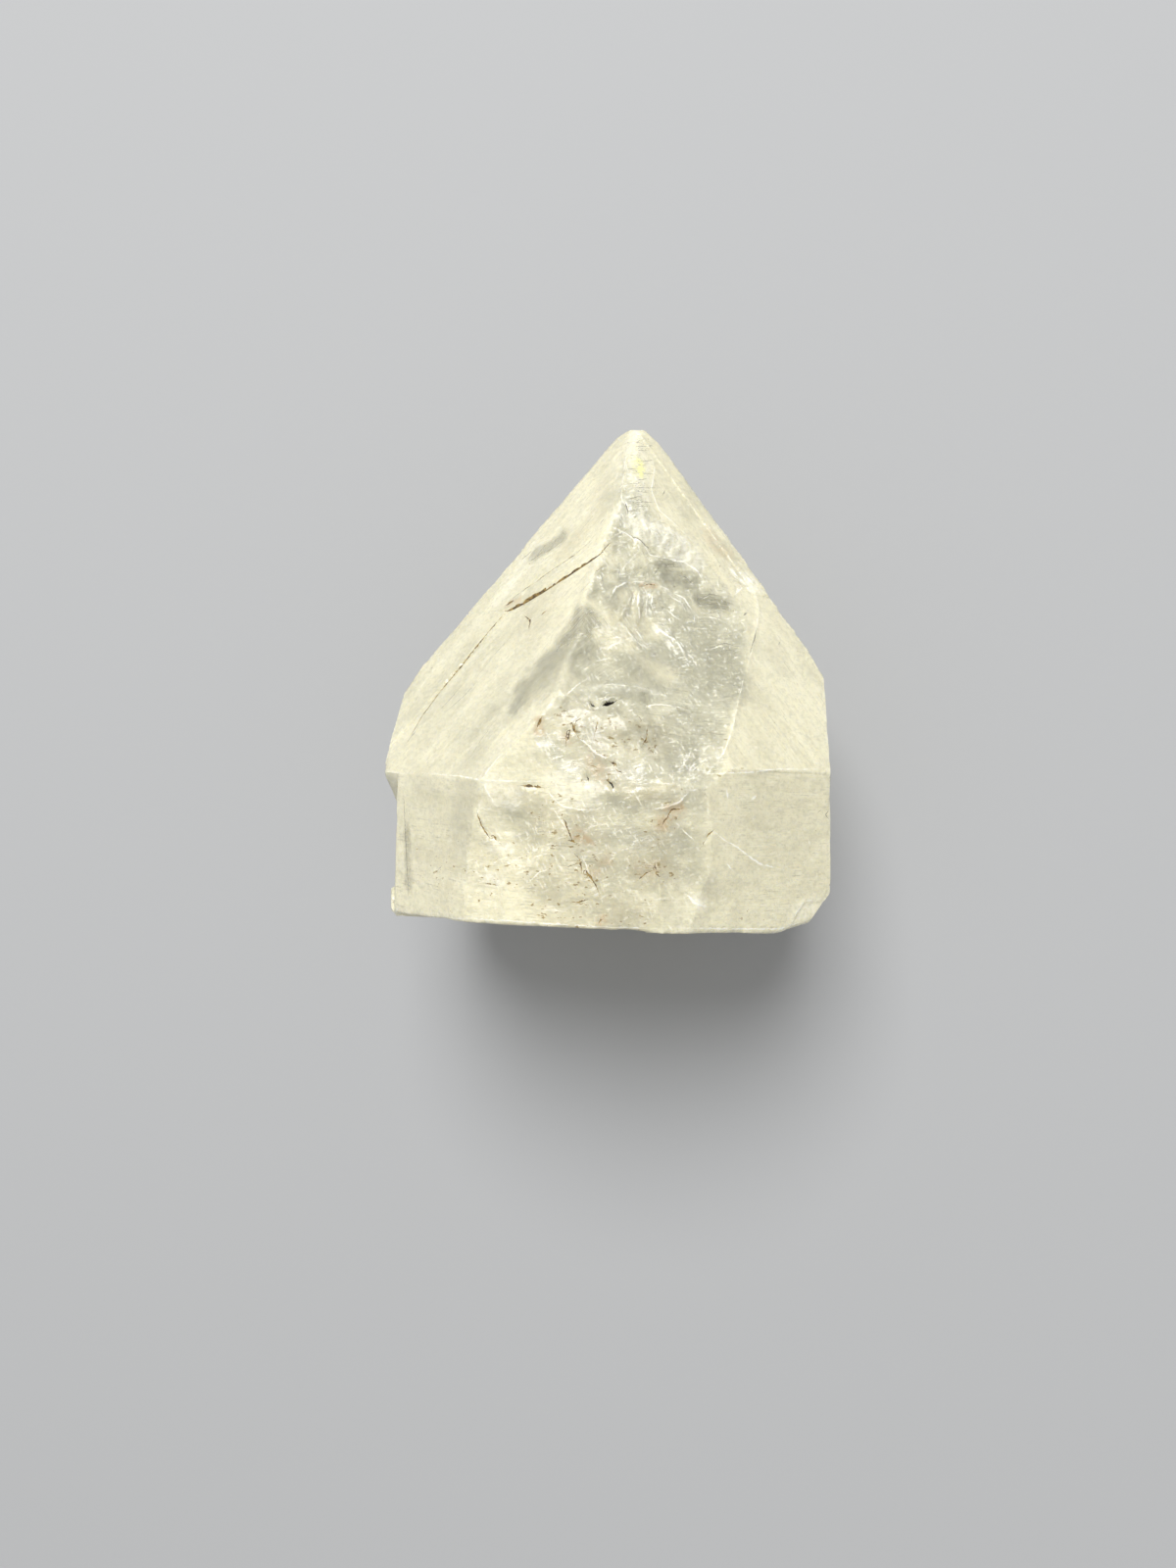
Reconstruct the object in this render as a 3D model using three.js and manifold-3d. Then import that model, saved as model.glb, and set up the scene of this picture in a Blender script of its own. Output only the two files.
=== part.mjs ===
// An apophyllite crystal: a four-sided pyramid on a short eight-sided stem, snapped off
// its cluster along the flat cleavage at its base, and lying on one of its walls.
// Millimetres. X runs to the right, Y along the crystal towards its tip, and Z up from
// the wall that the crystal lies on.
import * as THREE from "three";
import { ConvexGeometry } from "three/addons/geometries/ConvexGeometry.js";
import { ImprovedNoise } from "three/addons/math/ImprovedNoise.js";
import { mergeVertices } from "three/addons/utils/BufferGeometryUtils.js";
import Module from "manifold-3d";

const wasm = await Module();
wasm.setup();

// The mineral's unit cell, in angstrom. Its height over its side sets every slope.
const CELL_SIDE = 8.96;
const CELL_HEIGHT = 15.78;
const PYRAMID_SLOPE = Math.atan(CELL_HEIGHT / CELL_SIDE);

// The stem: distances from the crystal's long axis to its walls.
const WALL_REACH = 23.6;
const REST_REACH = 23.5;
const BEVEL_REACH = 23.4;
const RIGHT_WALL_LEAN = 4.2;

// The tip of the whole pyramid, before it was blunted, measured from the long axis.
const TIP = new THREE.Vector3(1, 41, 1.5);

// The base: how far below the widest line it broke off, and how its cleavage leans.
const BASE_DROP = 14.9;
const BASE_LEAN = new THREE.Vector3(0.028, -1, 0.099).normalize();

// The cap of the crystal stands out a little over the stem, and most on the left, where
// its side runs steeply in below the widest line.
const LEFT_OVERHANG = 2.6;
const LEFT_UNDERSIDE = new THREE.Vector3(-0.94, -0.34, 0);
const LEFT_UNDERSIDE_TOP = new THREE.Vector3(-23.6, 1.2, 0);
const STEM_SET_BACK = 0.08;
const HAIR = 0.03;

// A sliver of a face along the stem's front left edge, which widens downwards.
const SLIVER_TURN = 157.5;
const SLIVER_LEAN = -0.024;
const SLIVER_TOP = -3.5;

// How finely the breaks are cut, how far past its rim a cut goes, and how far it reaches
// out of the crystal.
const CUT_STEP = 0.9;
const RIM_MARGIN = 1.3;
const CUT_CLEARANCE = 4;
const SEED_STEP = 3.7;
const GRIT_SEED = 7.3;

// Faces whose directions span less than this are parallel, and a point this far out of a
// face still lies on it.
const PARALLEL = 1e-6;
const TOUCHING = 1e-5;
const SAME_POINT = 1e-4;

const UP_AXIS = new THREE.Vector3(0, 1, 0);
const DOWN_AXIS = new THREE.Vector3(0, -1, 0);

const noise = new ImprovedNoise();

// A direction square to the long axis: 0 points right, 90 up, 180 left, 270 down.
function sideways(turn) {
  const angle = THREE.MathUtils.degToRad(turn);
  return new THREE.Vector3(Math.cos(angle), 0, Math.sin(angle));
}

// A flat face, given by its outward direction and its distance from the long axis.
function face(direction, distance) {
  return new THREE.Plane(direction.clone().normalize(), -distance);
}

function stemFace(turn, distance) {
  return face(sideways(turn), distance);
}

// A pyramid face leans in from the stem's bevels; side is 1 towards the tip, -1 below.
function pyramidFace(turn, through, side = 1) {
  const direction = sideways(turn).multiplyScalar(Math.sin(PYRAMID_SLOPE));
  direction.y = side * Math.cos(PYRAMID_SLOPE);
  return face(direction, direction.dot(through));
}

// A point on the ridge where a pyramid face meets the bevel under it.
function onWidestLine(turn) {
  const point = sideways(turn).multiplyScalar(BEVEL_REACH);
  const below = -pyramidFace(turn, TIP).distanceToPoint(point);
  return point.setY(below / Math.cos(PYRAMID_SLOPE));
}

// The crystal's faces by name, as they grew.
function grownFaces() {
  const lean = THREE.MathUtils.degToRad(RIGHT_WALL_LEAN);
  return {
    tipRightFront: pyramidFace(45, TIP),
    tipLeftFront: pyramidFace(135, TIP),
    tipLeftBack: pyramidFace(225, TIP),
    tipRightBack: pyramidFace(315, TIP),
    wallRight: face(new THREE.Vector3(Math.cos(lean), Math.sin(lean), 0), WALL_REACH),
    wallFront: stemFace(90, REST_REACH),
    wallLeft: stemFace(180, WALL_REACH),
    wallRest: stemFace(270, REST_REACH),
    bevelRightFront: stemFace(45, BEVEL_REACH),
    bevelLeftFront: stemFace(135, BEVEL_REACH),
    bevelLeftBack: stemFace(225, BEVEL_REACH),
    bevelRightBack: stemFace(315, BEVEL_REACH),
    base: face(BASE_LEAN, BASE_DROP),
  };
}

// The point that three faces share, or nothing where they are parallel.
function sharedPoint(a, b, c) {
  const bc = b.normal.clone().cross(c.normal);
  const ca = c.normal.clone().cross(a.normal);
  const ab = a.normal.clone().cross(b.normal);
  const spread = a.normal.dot(bc);
  if (Math.abs(spread) < PARALLEL) return null;
  return bc
    .multiplyScalar(-a.constant)
    .addScaledVector(ca, -b.constant)
    .addScaledVector(ab, -c.constant)
    .divideScalar(spread);
}

// The closed body that lies behind every one of the faces.
function bodyBehind(faces) {
  const corners = [];
  for (let i = 0; i < faces.length; i++) {
    for (let j = i + 1; j < faces.length; j++) {
      for (let k = j + 1; k < faces.length; k++) {
        const point = sharedPoint(faces[i], faces[j], faces[k]);
        if (!point) continue;
        if (faces.some((one) => one.distanceToPoint(point) > TOUCHING)) continue;
        if (corners.some((one) => one.distanceTo(point) < SAME_POINT)) continue;
        corners.push(point);
      }
    }
  }
  return toSolid(new ConvexGeometry(corners));
}

// A closed mesh as a solid that can be joined and cut.
function toSolid(geometry) {
  const bare = geometry.clone();
  bare.deleteAttribute("normal");
  bare.deleteAttribute("uv");
  const merged = mergeVertices(bare, SAME_POINT);
  return new wasm.Manifold(
    new wasm.Mesh({
      numProp: 3,
      vertProperties: merged.attributes.position.array,
      triVerts: new Uint32Array(merged.index.array),
    }),
  );
}

function toGeometry(solid) {
  const mesh = solid.getMesh();
  const geometry = new THREE.BufferGeometry();
  geometry.setAttribute("position", new THREE.BufferAttribute(mesh.vertProperties, 3));
  geometry.setIndex(new THREE.BufferAttribute(mesh.triVerts, 1));
  return geometry;
}

// The crystal before any damage, as a slimmer stem under a wider cap. One face can stand
// further out by a growth step, with the others drawn in a hair so that only the step
// shows, and limits can keep only a part of the whole.
function crystalBody(step = null, hair = 0, limits = []) {
  const grown = movedFaces(grownFaces(), -hair);
  if (step) grown[step.face] = movedFace(grown[step.face], hair + step.by);
  const stem = movedFaces(grown, -STEM_SET_BACK);
  stem.base = grown.base;
  stem.wallLeft = movedFace(grown.wallLeft, -LEFT_OVERHANG);
  const edgeTop = sharedPoint(stem.wallLeft, stem.bevelLeftFront, face(UP_AXIS, SLIVER_TOP));
  const sliver = sideways(SLIVER_TURN).setY(SLIVER_LEAN).normalize();
  stem.sliver = face(sliver, sliver.dot(edgeTop));
  const underCap = [45, 135, 225, 315].map((turn) => {
    return movedFace(pyramidFace(turn, onWidestLine(turn), -1), -hair);
  });
  underCap.push(movedFace(face(LEFT_UNDERSIDE, LEFT_UNDERSIDE.dot(LEFT_UNDERSIDE_TOP)), -hair));
  const cap = bodyBehind([...Object.values(grown), ...underCap, ...limits]);
  return bodyBehind([...Object.values(stem), ...limits]).add(cap);
}

function movedFace(plane, out) {
  return new THREE.Plane(plane.normal.clone(), plane.constant - out);
}

function movedFaces(faces, out) {
  return Object.fromEntries(
    Object.entries(faces).map(([name, plane]) => [name, movedFace(plane, out)]),
  );
}

// Growth terraces: one face stood a little further out within the given limits. A limit
// is a plane, and the terrace lies behind it.
const TERRACES = [
  // The left of the front left pyramid face, up to a line parallel with its outer edge.
  { face: "tipLeftFront", by: 0.16, limits: [face(sideways(90), 7.7), face(UP_AXIS, 18.3)] },
  // The upper part of the pyramid's right edge, on both of its faces.
  { face: "tipRightFront", by: 0.14, limits: [face(sideways(90), 3.4), face(DOWN_AXIS, -21.5)] },
  { face: "tipRightBack", by: 0.14, limits: [face(sideways(270), 14), face(DOWN_AXIS, -21.5)] },
  // Hidden pyramid faces, stepped in the same directions.
  { face: "tipLeftBack", by: 0.35, limits: [face(sideways(180), 17), face(sideways(270), 9)] },
  { face: "tipLeftBack", by: 0.6, limits: [face(sideways(180), 11), face(sideways(270), 16)] },
  { face: "tipRightBack", by: 0.4, limits: [face(sideways(0), 12.5), face(UP_AXIS, 17)] },
  // Steps across the side walls and the bevels under them.
  { face: "wallLeft", by: 0.6, limits: [face(sideways(90), 11.2), face(UP_AXIS, -11.8)] },
  { face: "wallLeft", by: 1.5, limits: [face(sideways(90), -3), face(UP_AXIS, -7.5)] },
  { face: "wallRight", by: 0.35, limits: [face(sideways(90), -2), face(DOWN_AXIS, 6)] },
  { face: "bevelLeftBack", by: 0.4, limits: [face(DOWN_AXIS, 9)] },
  { face: "bevelRightBack", by: 0.5, limits: [face(UP_AXIS, -6)] },
  // The cleavage at the base came away in thin flat sheets.
  { face: "base", by: 0.16, limits: [face(sideways(180), -6.5)] },
  { face: "base", by: 0.3, limits: [face(sideways(0), 16), face(sideways(90), 12)] },
  { face: "base", by: 0.6, limits: [face(sideways(180), 9), face(sideways(90), -3)] },
  { face: "base", by: 0.9, limits: [face(sideways(20), -2), face(sideways(110), -9)] },
];

function withTerraces(crystal) {
  return TERRACES.reduce((body, step, i) => {
    const hair = HAIR * (1 + 0.2 * i);
    return body.add(crystalBody(step, hair, step.limits));
  }, crystal);
}

// How far a break lies off a smooth bowl: ripples that run out from where the blow fell,
// and an unevenness of two sizes.
function breakRelief(x, z, chip) {
  const away = Math.hypot(x - chip.blow * chip.width, z);
  const wave = Math.sin((away / chip.ripple) * 2 * Math.PI);
  const slow = noise.noise(x / chip.lump, chip.seed, z / chip.lump);
  const fast = noise.noise(x / chip.grit, chip.seed + GRIT_SEED, z / chip.grit);
  return chip.rough * (0.45 * wave + 1.6 * slow + 0.8 * fast);
}

// A shallow bowl to be cut away. It is given by the middle of its rim, the direction it
// faces, the direction along it, the rim's half width, how much longer than wide it is,
// and its depth. The larger its flatness, the more level its floor, and the larger its
// squareness, the fuller the corners of its rim.
function scoop(chip) {
  const halfLong = RIM_MARGIN * chip.width * chip.stretch;
  const halfWide = RIM_MARGIN * chip.width;
  const steps = [halfLong, halfWide].map((half) => Math.max(5, Math.round((2 * half) / CUT_STEP)));
  const block = new THREE.BoxGeometry(2 * halfLong, 1, 2 * halfWide, steps[0], 1, steps[1]);
  const points = block.attributes.position;
  for (let i = 0; i < points.count; i++) {
    if (points.getY(i) > 0) {
      points.setY(i, CUT_CLEARANCE);
      continue;
    }
    const x = points.getX(i);
    const z = points.getZ(i);
    const alongRim = Math.abs(x / chip.stretch) ** chip.squareness;
    const acrossRim = Math.abs(z) ** chip.squareness;
    const out = (alongRim + acrossRim) ** (1 / chip.squareness) / chip.width;
    const bowl = chip.depth * (out ** chip.flatness - 1);
    const relief = breakRelief(x, z, chip) * Math.max(0, 1 - (out / RIM_MARGIN) ** 6);
    points.setY(i, bowl + relief);
  }
  const up = new THREE.Vector3(...chip.facing).normalize();
  const along = new THREE.Vector3(...chip.along);
  along.addScaledVector(up, -along.dot(up)).normalize();
  const place = new THREE.Matrix4().makeBasis(along, up, along.clone().cross(up));
  place.setPosition(...chip.at);
  return toSolid(block.applyMatrix4(place));
}

const ORDINARY_CHIP = {
  along: [1, 0.2, 0],
  stretch: 1.25,
  flatness: 2.4,
  squareness: 2,
  blow: -0.8,
  ripple: 3.4,
  lump: 3.2,
  grit: 1.6,
  rough: 0.08,
};

// The damage, front first. Places are measured from the long axis.
const CHIPS = [
  // The great shell-like break that took the front edge of the pyramid off.
  {
    at: [2.8, 16.8, 19.1],
    facing: [0.615, 0.494, 0.615],
    along: [0.145, 0.696, -0.703],
    width: 14.2,
    stretch: 1.14,
    depth: 2.9,
    flatness: 2.2,
    squareness: 3,
    blow: 0.95,
    ripple: 6.5,
    lump: 6,
    grit: 2.4,
    rough: 0.2,
  },
  // Smaller shells inside it, one below another.
  { at: [2.9, 19.4, 14.4], facing: [0.3, 0.45, 0.84], width: 3.4, depth: 0.5, rough: 0.14 },
  { at: [3.4, 12.6, 18.9], facing: [0.3, 0.35, 0.88], width: 4.6, depth: 0.6, rough: 0.14 },
  { at: [8.2, 6.4, 20.6], facing: [0.45, 0.3, 0.84], width: 4.2, depth: 0.5, rough: 0.12 },
  // The blunted tip, and the bruised edge that runs down from it.
  { at: [1.1, 39.15, 1.6], facing: [0.05, 1, 0.1], width: 3.2, depth: 0.05, rough: 0.05 },
  { at: [3.2, 38.0, 2.4], facing: [0.62, 0.78, 0.2], width: 2.8, depth: 0.05, rough: 0.05 },
  { at: [-0.6, 38.6, 2.0], facing: [-0.5, 0.86, 0.2], width: 2.4, depth: 0.02, rough: 0.04 },
  {
    at: [1.7, 32.6, 7.9],
    facing: [0.2, 0.61, 0.77],
    along: [0.06, 0.78, -0.62],
    width: 2.0,
    stretch: 3.2,
    depth: 0.3,
    rough: 0.1,
  },
  { at: [2.0, 27.0, 12.2], facing: [0.3, 0.58, 0.77], width: 2.8, depth: 0.5, rough: 0.12 },
  // The crumbled front of the cap, and the rough front of the stem under it.
  {
    at: [1.2, 4.2, 23.62],
    facing: [0.04, 0.06, 1],
    width: 6.6,
    stretch: 1.1,
    depth: 0.5,
    flatness: 4,
    rough: 0.16,
    lump: 2.6,
  },
  { at: [-1.2, 7.4, 23.3], facing: [0, 0.25, 1], width: 1.5, depth: 0.5, rough: 0.1 },
  {
    at: [2.8, -1.4, 23.5],
    facing: [0.1, -0.12, 1],
    along: [1, -0.12, 0],
    width: 2.4,
    stretch: 2.2,
    depth: 0.4,
    squareness: 3,
    rough: 0.08,
  },
  {
    at: [0.6, -8.6, 23.66],
    facing: [0.03, -0.02, 1],
    width: 7.4,
    stretch: 1.35,
    depth: 0.4,
    flatness: 5,
    squareness: 3,
    rough: 0.13,
    lump: 3,
  },
  { at: [-4.6, -5.2, 23.5], facing: [-0.12, 0.1, 1], width: 3.4, depth: 0.3, rough: 0.08 },
  { at: [4.4, -11.4, 23.4], facing: [0.1, -0.2, 1], width: 2.8, depth: 0.4, rough: 0.1 },
  // The broken front edges of the stem.
  {
    at: [-9.0, -9.2, 23.1],
    facing: [-0.3, -0.02, 0.95],
    along: [0.1, 1, 0],
    width: 3.4,
    stretch: 1.9,
    depth: 0.5,
    squareness: 3,
    rough: 0.12,
  },
  {
    at: [9.9, -6.6, 22.7],
    facing: [0.42, 0.02, 0.91],
    along: [0.16, 1, 0],
    width: 5.0,
    stretch: 1.7,
    depth: 0.9,
    squareness: 3,
    rough: 0.1,
  },
  { at: [14.4, -9.9, 18.6], facing: [0.66, -0.08, 0.74], width: 5.4, depth: 0.25, stretch: 1.3 },
  // Corners of the base, of which the one at the front right is worn round.
  {
    at: [23.3, -11.2, 6],
    facing: [0.82, -0.57, 0.06],
    along: [0, 0, 1],
    width: 5,
    stretch: 2.4,
    depth: 0.05,
    rough: 0.04,
  },
  {
    at: [20.6, -13.3, 6],
    facing: [0.3, -0.95, 0.08],
    along: [0, 0, 1],
    width: 5,
    stretch: 2.6,
    depth: 0.05,
    rough: 0.04,
  },
  { at: [-20.6, -15.0, 11.8], facing: [-0.6, -0.7, 0.4], width: 1.8, depth: 0.4 },
  { at: [12.0, -16.6, -21.6], facing: [0.3, -0.7, -0.6], width: 4.2, depth: 1.0, rough: 0.14 },
  { at: [-20.0, -17.6, -12.6], facing: [-0.7, -0.6, -0.4], width: 3.8, depth: 0.9, rough: 0.14 },
  { at: [23.2, -15.8, -7], facing: [0.8, -0.6, -0.1], width: 2.8, depth: 0.6, rough: 0.1 },
  // The two side edges of the pyramid, and its shoulders.
  { at: [21.2, 15.8, 1.8], facing: [0.86, 0.5, 0.1], width: 4.6, depth: 0.15, rough: 0.05 },
  { at: [-22.7, 11.2, 1.6], facing: [-0.88, 0.46, 0.1], width: 2.6, depth: 0.2, rough: 0.05 },
  // The back edge and back bevels, bruised like the front.
  {
    at: [0.8, 22.0, -14.2],
    facing: [0.1, 0.6, -0.8],
    along: [0, 0.8, 0.6],
    width: 3.2,
    stretch: 2.2,
    depth: 0.9,
    rough: 0.14,
  },
  { at: [-9.6, 4.4, -22.8], facing: [-0.5, 0.3, -0.8], width: 3.0, depth: 0.6, rough: 0.12 },
  { at: [16.8, -4.2, -16.9], facing: [0.7, 0.1, -0.7], width: 4.0, depth: 0.5, rough: 0.12 },
];

// Narrow open cracks, as lens-shaped slots between two points on the surface.
const CRACKS = [
  { from: [-0.3, 24, 13.8], to: [-11.3, 18.3, 7.5], facing: [-0.62, 0.49, 0.62], width: 0.34, depth: 0.9 },
  { from: [-9.5, -2.7, 23.4], to: [-7.9, -5.1, 23.4], facing: [-0.2, 0, 1], width: 0.34, depth: 0.8 },
  { from: [-4.9, 0.6, 23.6], to: [-2.9, 0.3, 23.6], facing: [0, 0, 1], width: 0.32, depth: 0.9 },
  { from: [1.0, -7.1, 23.6], to: [2.2, -9.0, 23.6], facing: [0, 0, 1], width: 0.36, depth: 1.1 },
  { from: [-2.3, 6.6, 23.6], to: [-0.6, 8.0, 23.6], facing: [0, 0, 1], width: 0.32, depth: 0.9 },
];

function crack({ from, to, facing, width, depth }) {
  const start = new THREE.Vector3(...from);
  const end = new THREE.Vector3(...to);
  const half = start.distanceTo(end) / 2;
  const lens = new THREE.Shape();
  lens.moveTo(-half, 0);
  lens.quadraticCurveTo(0, width, half, 0);
  lens.quadraticCurveTo(0, -width, -half, 0);
  const slot = new THREE.ExtrudeGeometry(lens, {
    depth: depth + CUT_CLEARANCE,
    bevelEnabled: false,
    curveSegments: 6,
  });
  slot.translate(0, 0, -depth);
  const along = end.clone().sub(start).normalize();
  const up = new THREE.Vector3(...facing);
  up.addScaledVector(along, -up.dot(along)).normalize();
  const place = new THREE.Matrix4().makeBasis(along, up.clone().cross(along), up);
  place.setPosition(start.add(end).multiplyScalar(0.5));
  return toSolid(slot.applyMatrix4(place));
}

function damaged(crystal) {
  const scoops = CHIPS.map((chip, i) => scoop({ ...ORDINARY_CHIP, seed: SEED_STEP * i, ...chip }));
  const slots = CRACKS.map(crack);
  return [...scoops, ...slots].reduce((body, cut) => body.subtract(cut), crystal);
}

// Milky cream, with the soft shine of a slightly etched surface.
function apophylliteMaterial() {
  return new THREE.MeshStandardMaterial({ color: 0xe6e2c9, roughness: 0.32, metalness: 0 });
}

function makeCrystal() {
  const mesh = new THREE.Mesh(
    toGeometry(damaged(withTerraces(crystalBody()))),
    apophylliteMaterial(),
  );
  mesh.name = "crystal";
  return mesh;
}

// The crystal stands with the middle of its box over the origin, resting on it.
function restingOn(mesh) {
  mesh.geometry.computeBoundingBox();
  const box = mesh.geometry.boundingBox;
  const middle = box.getCenter(new THREE.Vector3());
  mesh.position.set(-middle.x, -middle.y, -box.min.z);
  return mesh;
}

const apophyllite = new THREE.Group();
apophyllite.add(restingOn(makeCrystal()));

export default apophyllite;
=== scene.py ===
# %% [markdown]
# # An apophyllite pyramid
#
# This lesson dresses one natural crystal: a steep four-sided pyramid on a short
# eight-sided stem. It lies on one of its walls, and the camera looks down on it. The
# solid that comes with the frame already has the right size and the main forms: the flat
# faces, the great shell-like break on the front and the larger chips. What is added here
# is what the eye needs from close by, which is fine relief and a finish that is milky in
# one place and clear as glass in the next.
#
# The solid could be dressed with a material alone, but a see-through stone shows its
# relief from both sides, so the fine forms are made in the mesh.

# %% Load the frame
import itertools
import math
import bmesh
import bpy
import numpy as np
from mathutils import Matrix, Vector
from mathutils.bvhtree import BVHTree
from mathutils.kdtree import KDTree


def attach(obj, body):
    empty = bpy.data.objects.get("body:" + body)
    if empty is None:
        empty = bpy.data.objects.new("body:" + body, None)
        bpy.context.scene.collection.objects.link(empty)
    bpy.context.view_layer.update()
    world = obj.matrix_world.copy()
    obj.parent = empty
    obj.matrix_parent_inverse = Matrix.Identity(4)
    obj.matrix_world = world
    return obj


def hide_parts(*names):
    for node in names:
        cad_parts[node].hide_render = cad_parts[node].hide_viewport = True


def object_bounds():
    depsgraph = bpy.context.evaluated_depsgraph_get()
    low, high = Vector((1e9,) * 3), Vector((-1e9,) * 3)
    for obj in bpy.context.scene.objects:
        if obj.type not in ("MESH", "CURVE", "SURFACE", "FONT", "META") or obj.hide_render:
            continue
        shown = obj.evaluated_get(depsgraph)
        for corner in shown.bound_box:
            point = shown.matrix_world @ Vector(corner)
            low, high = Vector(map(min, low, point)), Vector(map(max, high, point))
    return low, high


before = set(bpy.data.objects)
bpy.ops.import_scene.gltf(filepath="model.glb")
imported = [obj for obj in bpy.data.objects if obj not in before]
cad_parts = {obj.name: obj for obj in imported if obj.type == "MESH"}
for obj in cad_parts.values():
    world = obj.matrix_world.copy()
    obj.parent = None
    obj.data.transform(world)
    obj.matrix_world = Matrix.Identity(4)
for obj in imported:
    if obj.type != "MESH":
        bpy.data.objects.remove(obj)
cad_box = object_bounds()
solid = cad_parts["crystal"]
MM = 0.001
print("the solid measures", [round(side / MM, 1) for side in cad_box[1] - cad_box[0]], "mm")

# %% [markdown]
# ## The camera
#
# A phone held about 13 cm above the crystal took the picture, tilted a little to the
# left and upwards. Near the closest distance that it can focus, a lens shows strong
# perspective, so the front edges look larger than the hidden back ones. The camera is
# given here by where it hangs and by its three directions, and its lens is set from the
# focal length in pixels.

# %% Hang the camera over the crystal
def placed(name, data):
    """A new object that is in the scene."""
    made = bpy.data.objects.new(name, data)
    bpy.context.scene.collection.objects.link(made)
    return made


PHOTO_WIDE, PHOTO_HIGH = 1200, 1600
FOCAL_PIXELS = 1155
SENSOR = 36
CAMERA_AT = Vector((13.58, -5.62, 150.15))
CAMERA_RIGHT = Vector((0.9899, 0.0533, -0.1314)).normalized()
CAMERA_BACK = Vector((0.1295, 0.0377, 0.9909)).normalized()
CAMERA_UP = CAMERA_BACK.cross(CAMERA_RIGHT).normalized()

lens = bpy.data.cameras.new("phone lens")
lens.sensor_width = SENSOR
lens.lens = FOCAL_PIXELS / PHOTO_HIGH * SENSOR
lens.clip_start = 0.005
lens.clip_end = 10
camera = placed("camera", lens)
turn = Matrix((CAMERA_BACK.cross(CAMERA_UP) * -1, CAMERA_UP, CAMERA_BACK)).transposed()
camera.matrix_world = Matrix.Translation(CAMERA_AT * MM) @ turn.to_4x4()
bpy.context.scene.camera = camera
print("lens", round(lens.lens, 2), "mm,", round(CAMERA_AT.z), "mm above the floor")

# %% [markdown]
# ## A finer copy of the solid
#
# The solid has large triangles on its flat faces, and fine relief needs many small ones.
# A voxel remesh gives a skin of even squares, but it rounds every edge a little and
# leaves the skin slightly off the solid. So the squares that the camera sees are divided
# once more, and then every point is drawn back onto the solid. What stays of the
# rounding is about the wear that a natural edge has.

# %% Remesh the solid to an even skin
VOXEL = 0.51 * MM
WELD = 0.0002 * MM


def closed_copy(node):
    """A copy of the solid's mesh with its split corners joined again."""
    mesh = node.data.copy()
    work = bmesh.new()
    work.from_mesh(mesh)
    bmesh.ops.remove_doubles(work, verts=work.verts, dist=WELD)
    work.to_mesh(mesh)
    work.free()
    return mesh


def settled(piece):
    """Puts what the modifiers make into the piece's own mesh."""
    view = bpy.context.evaluated_depsgraph_get()
    mesh = bpy.data.meshes.new_from_object(piece.evaluated_get(view))
    piece.modifiers.clear()
    piece.data = mesh
    return mesh


crystal = placed("apophyllite_crystal", closed_copy(solid))
even = crystal.modifiers.new("even skin", "REMESH")
even.mode = "VOXEL"
even.voxel_size = VOXEL
settled(crystal)
print("the even skin has", len(crystal.data.polygons), "squares")

# %% Divide what the camera sees, and draw it back onto the solid
work = bmesh.new()
work.from_mesh(crystal.data)
work.normal_update()
seen_faces = [
    one for one in work.faces
    if one.normal.dot(CAMERA_AT * MM - one.calc_center_median()) > 0
]
seen_edges = list({edge for one in seen_faces for edge in one.edges})
bmesh.ops.subdivide_edges(work, edges=seen_edges, cuts=1, use_grid_fill=True)
bmesh.ops.triangulate(work, faces=work.faces)
work.to_mesh(crystal.data)
work.free()
wrap = crystal.modifiers.new("back onto the solid", "SHRINKWRAP")
wrap.target = solid
wrap.wrap_method = "NEAREST_SURFACEPOINT"
settled(crystal)
print("the divided skin has", len(crystal.data.polygons), "triangles")

# %% [markdown]
# ## Crisp edges
#
# Where the solid has a sharp edge, the even skin cuts across it in small steps, and the
# edge looks beaded. A crystal's straight edges show that at once. So wherever a short
# side of the skin leads from one face of the solid over a sharp edge to the next face,
# the nearer of its two points moves onto that edge.

# %% Find the solid's sharp edges
SHARP_FROM = math.radians(28)
EDGE_STEP = 0.04 * MM

work = bmesh.new()
work.from_mesh(closed_copy(solid))
solid_tree = BVHTree.FromBMesh(work)
sharp_ends = [
    (one.verts[0].co.copy(), one.verts[1].co.copy())
    for one in work.edges
    if one.calc_face_angle(0) > SHARP_FROM
]
work.free()
edge_spots = []
for start, end in sharp_ends:
    count = max(1, math.ceil((end - start).length / EDGE_STEP))
    edge_spots += [start.lerp(end, i / count) for i in range(count + 1)]
edge_tree = KDTree(len(edge_spots))
for number, spot in enumerate(edge_spots):
    edge_tree.insert(spot, number)
edge_tree.balance()
print(len(sharp_ends), "sharp edges")

# %% Draw the skin onto them
work = bmesh.new()
work.from_mesh(crystal.data)
face_there = [solid_tree.find_nearest(one.co)[1] for one in work.verts]
work.verts.ensure_lookup_table()
crossing = []
for side in work.edges:
    a, b = side.verts
    if face_there[a.index].angle(face_there[b.index]) > SHARP_FROM:
        for one, other in ((a, b), (b, a)):
            spot, _, away = edge_tree.find(one.co)
            if away < side.calc_length():
                crossing.append((away, one.index, other.index, spot))
crossing.sort(key=lambda entry: entry[0])
drawn = set()
for away, one, other, spot in crossing:
    if one not in drawn and other not in drawn:
        work.verts[one].co = spot
        drawn.add(one)
work.to_mesh(crystal.data)
work.free()
print(len(drawn), "points drawn onto sharp edges")

# %% [markdown]
# ## Points, directions and noise
#
# Every form that follows is a height for each point of the skin. Such heights are
# quickest to work out for all points at once, as arrays of numbers. They need three
# things: the points in millimetres from the place where the long axis crosses the widest
# line, the direction that each point faces, and noise that is the same on every run.

# %% The skin as arrays
AXIS_AT = np.array([-0.43, -10.44, 23.5])

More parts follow.
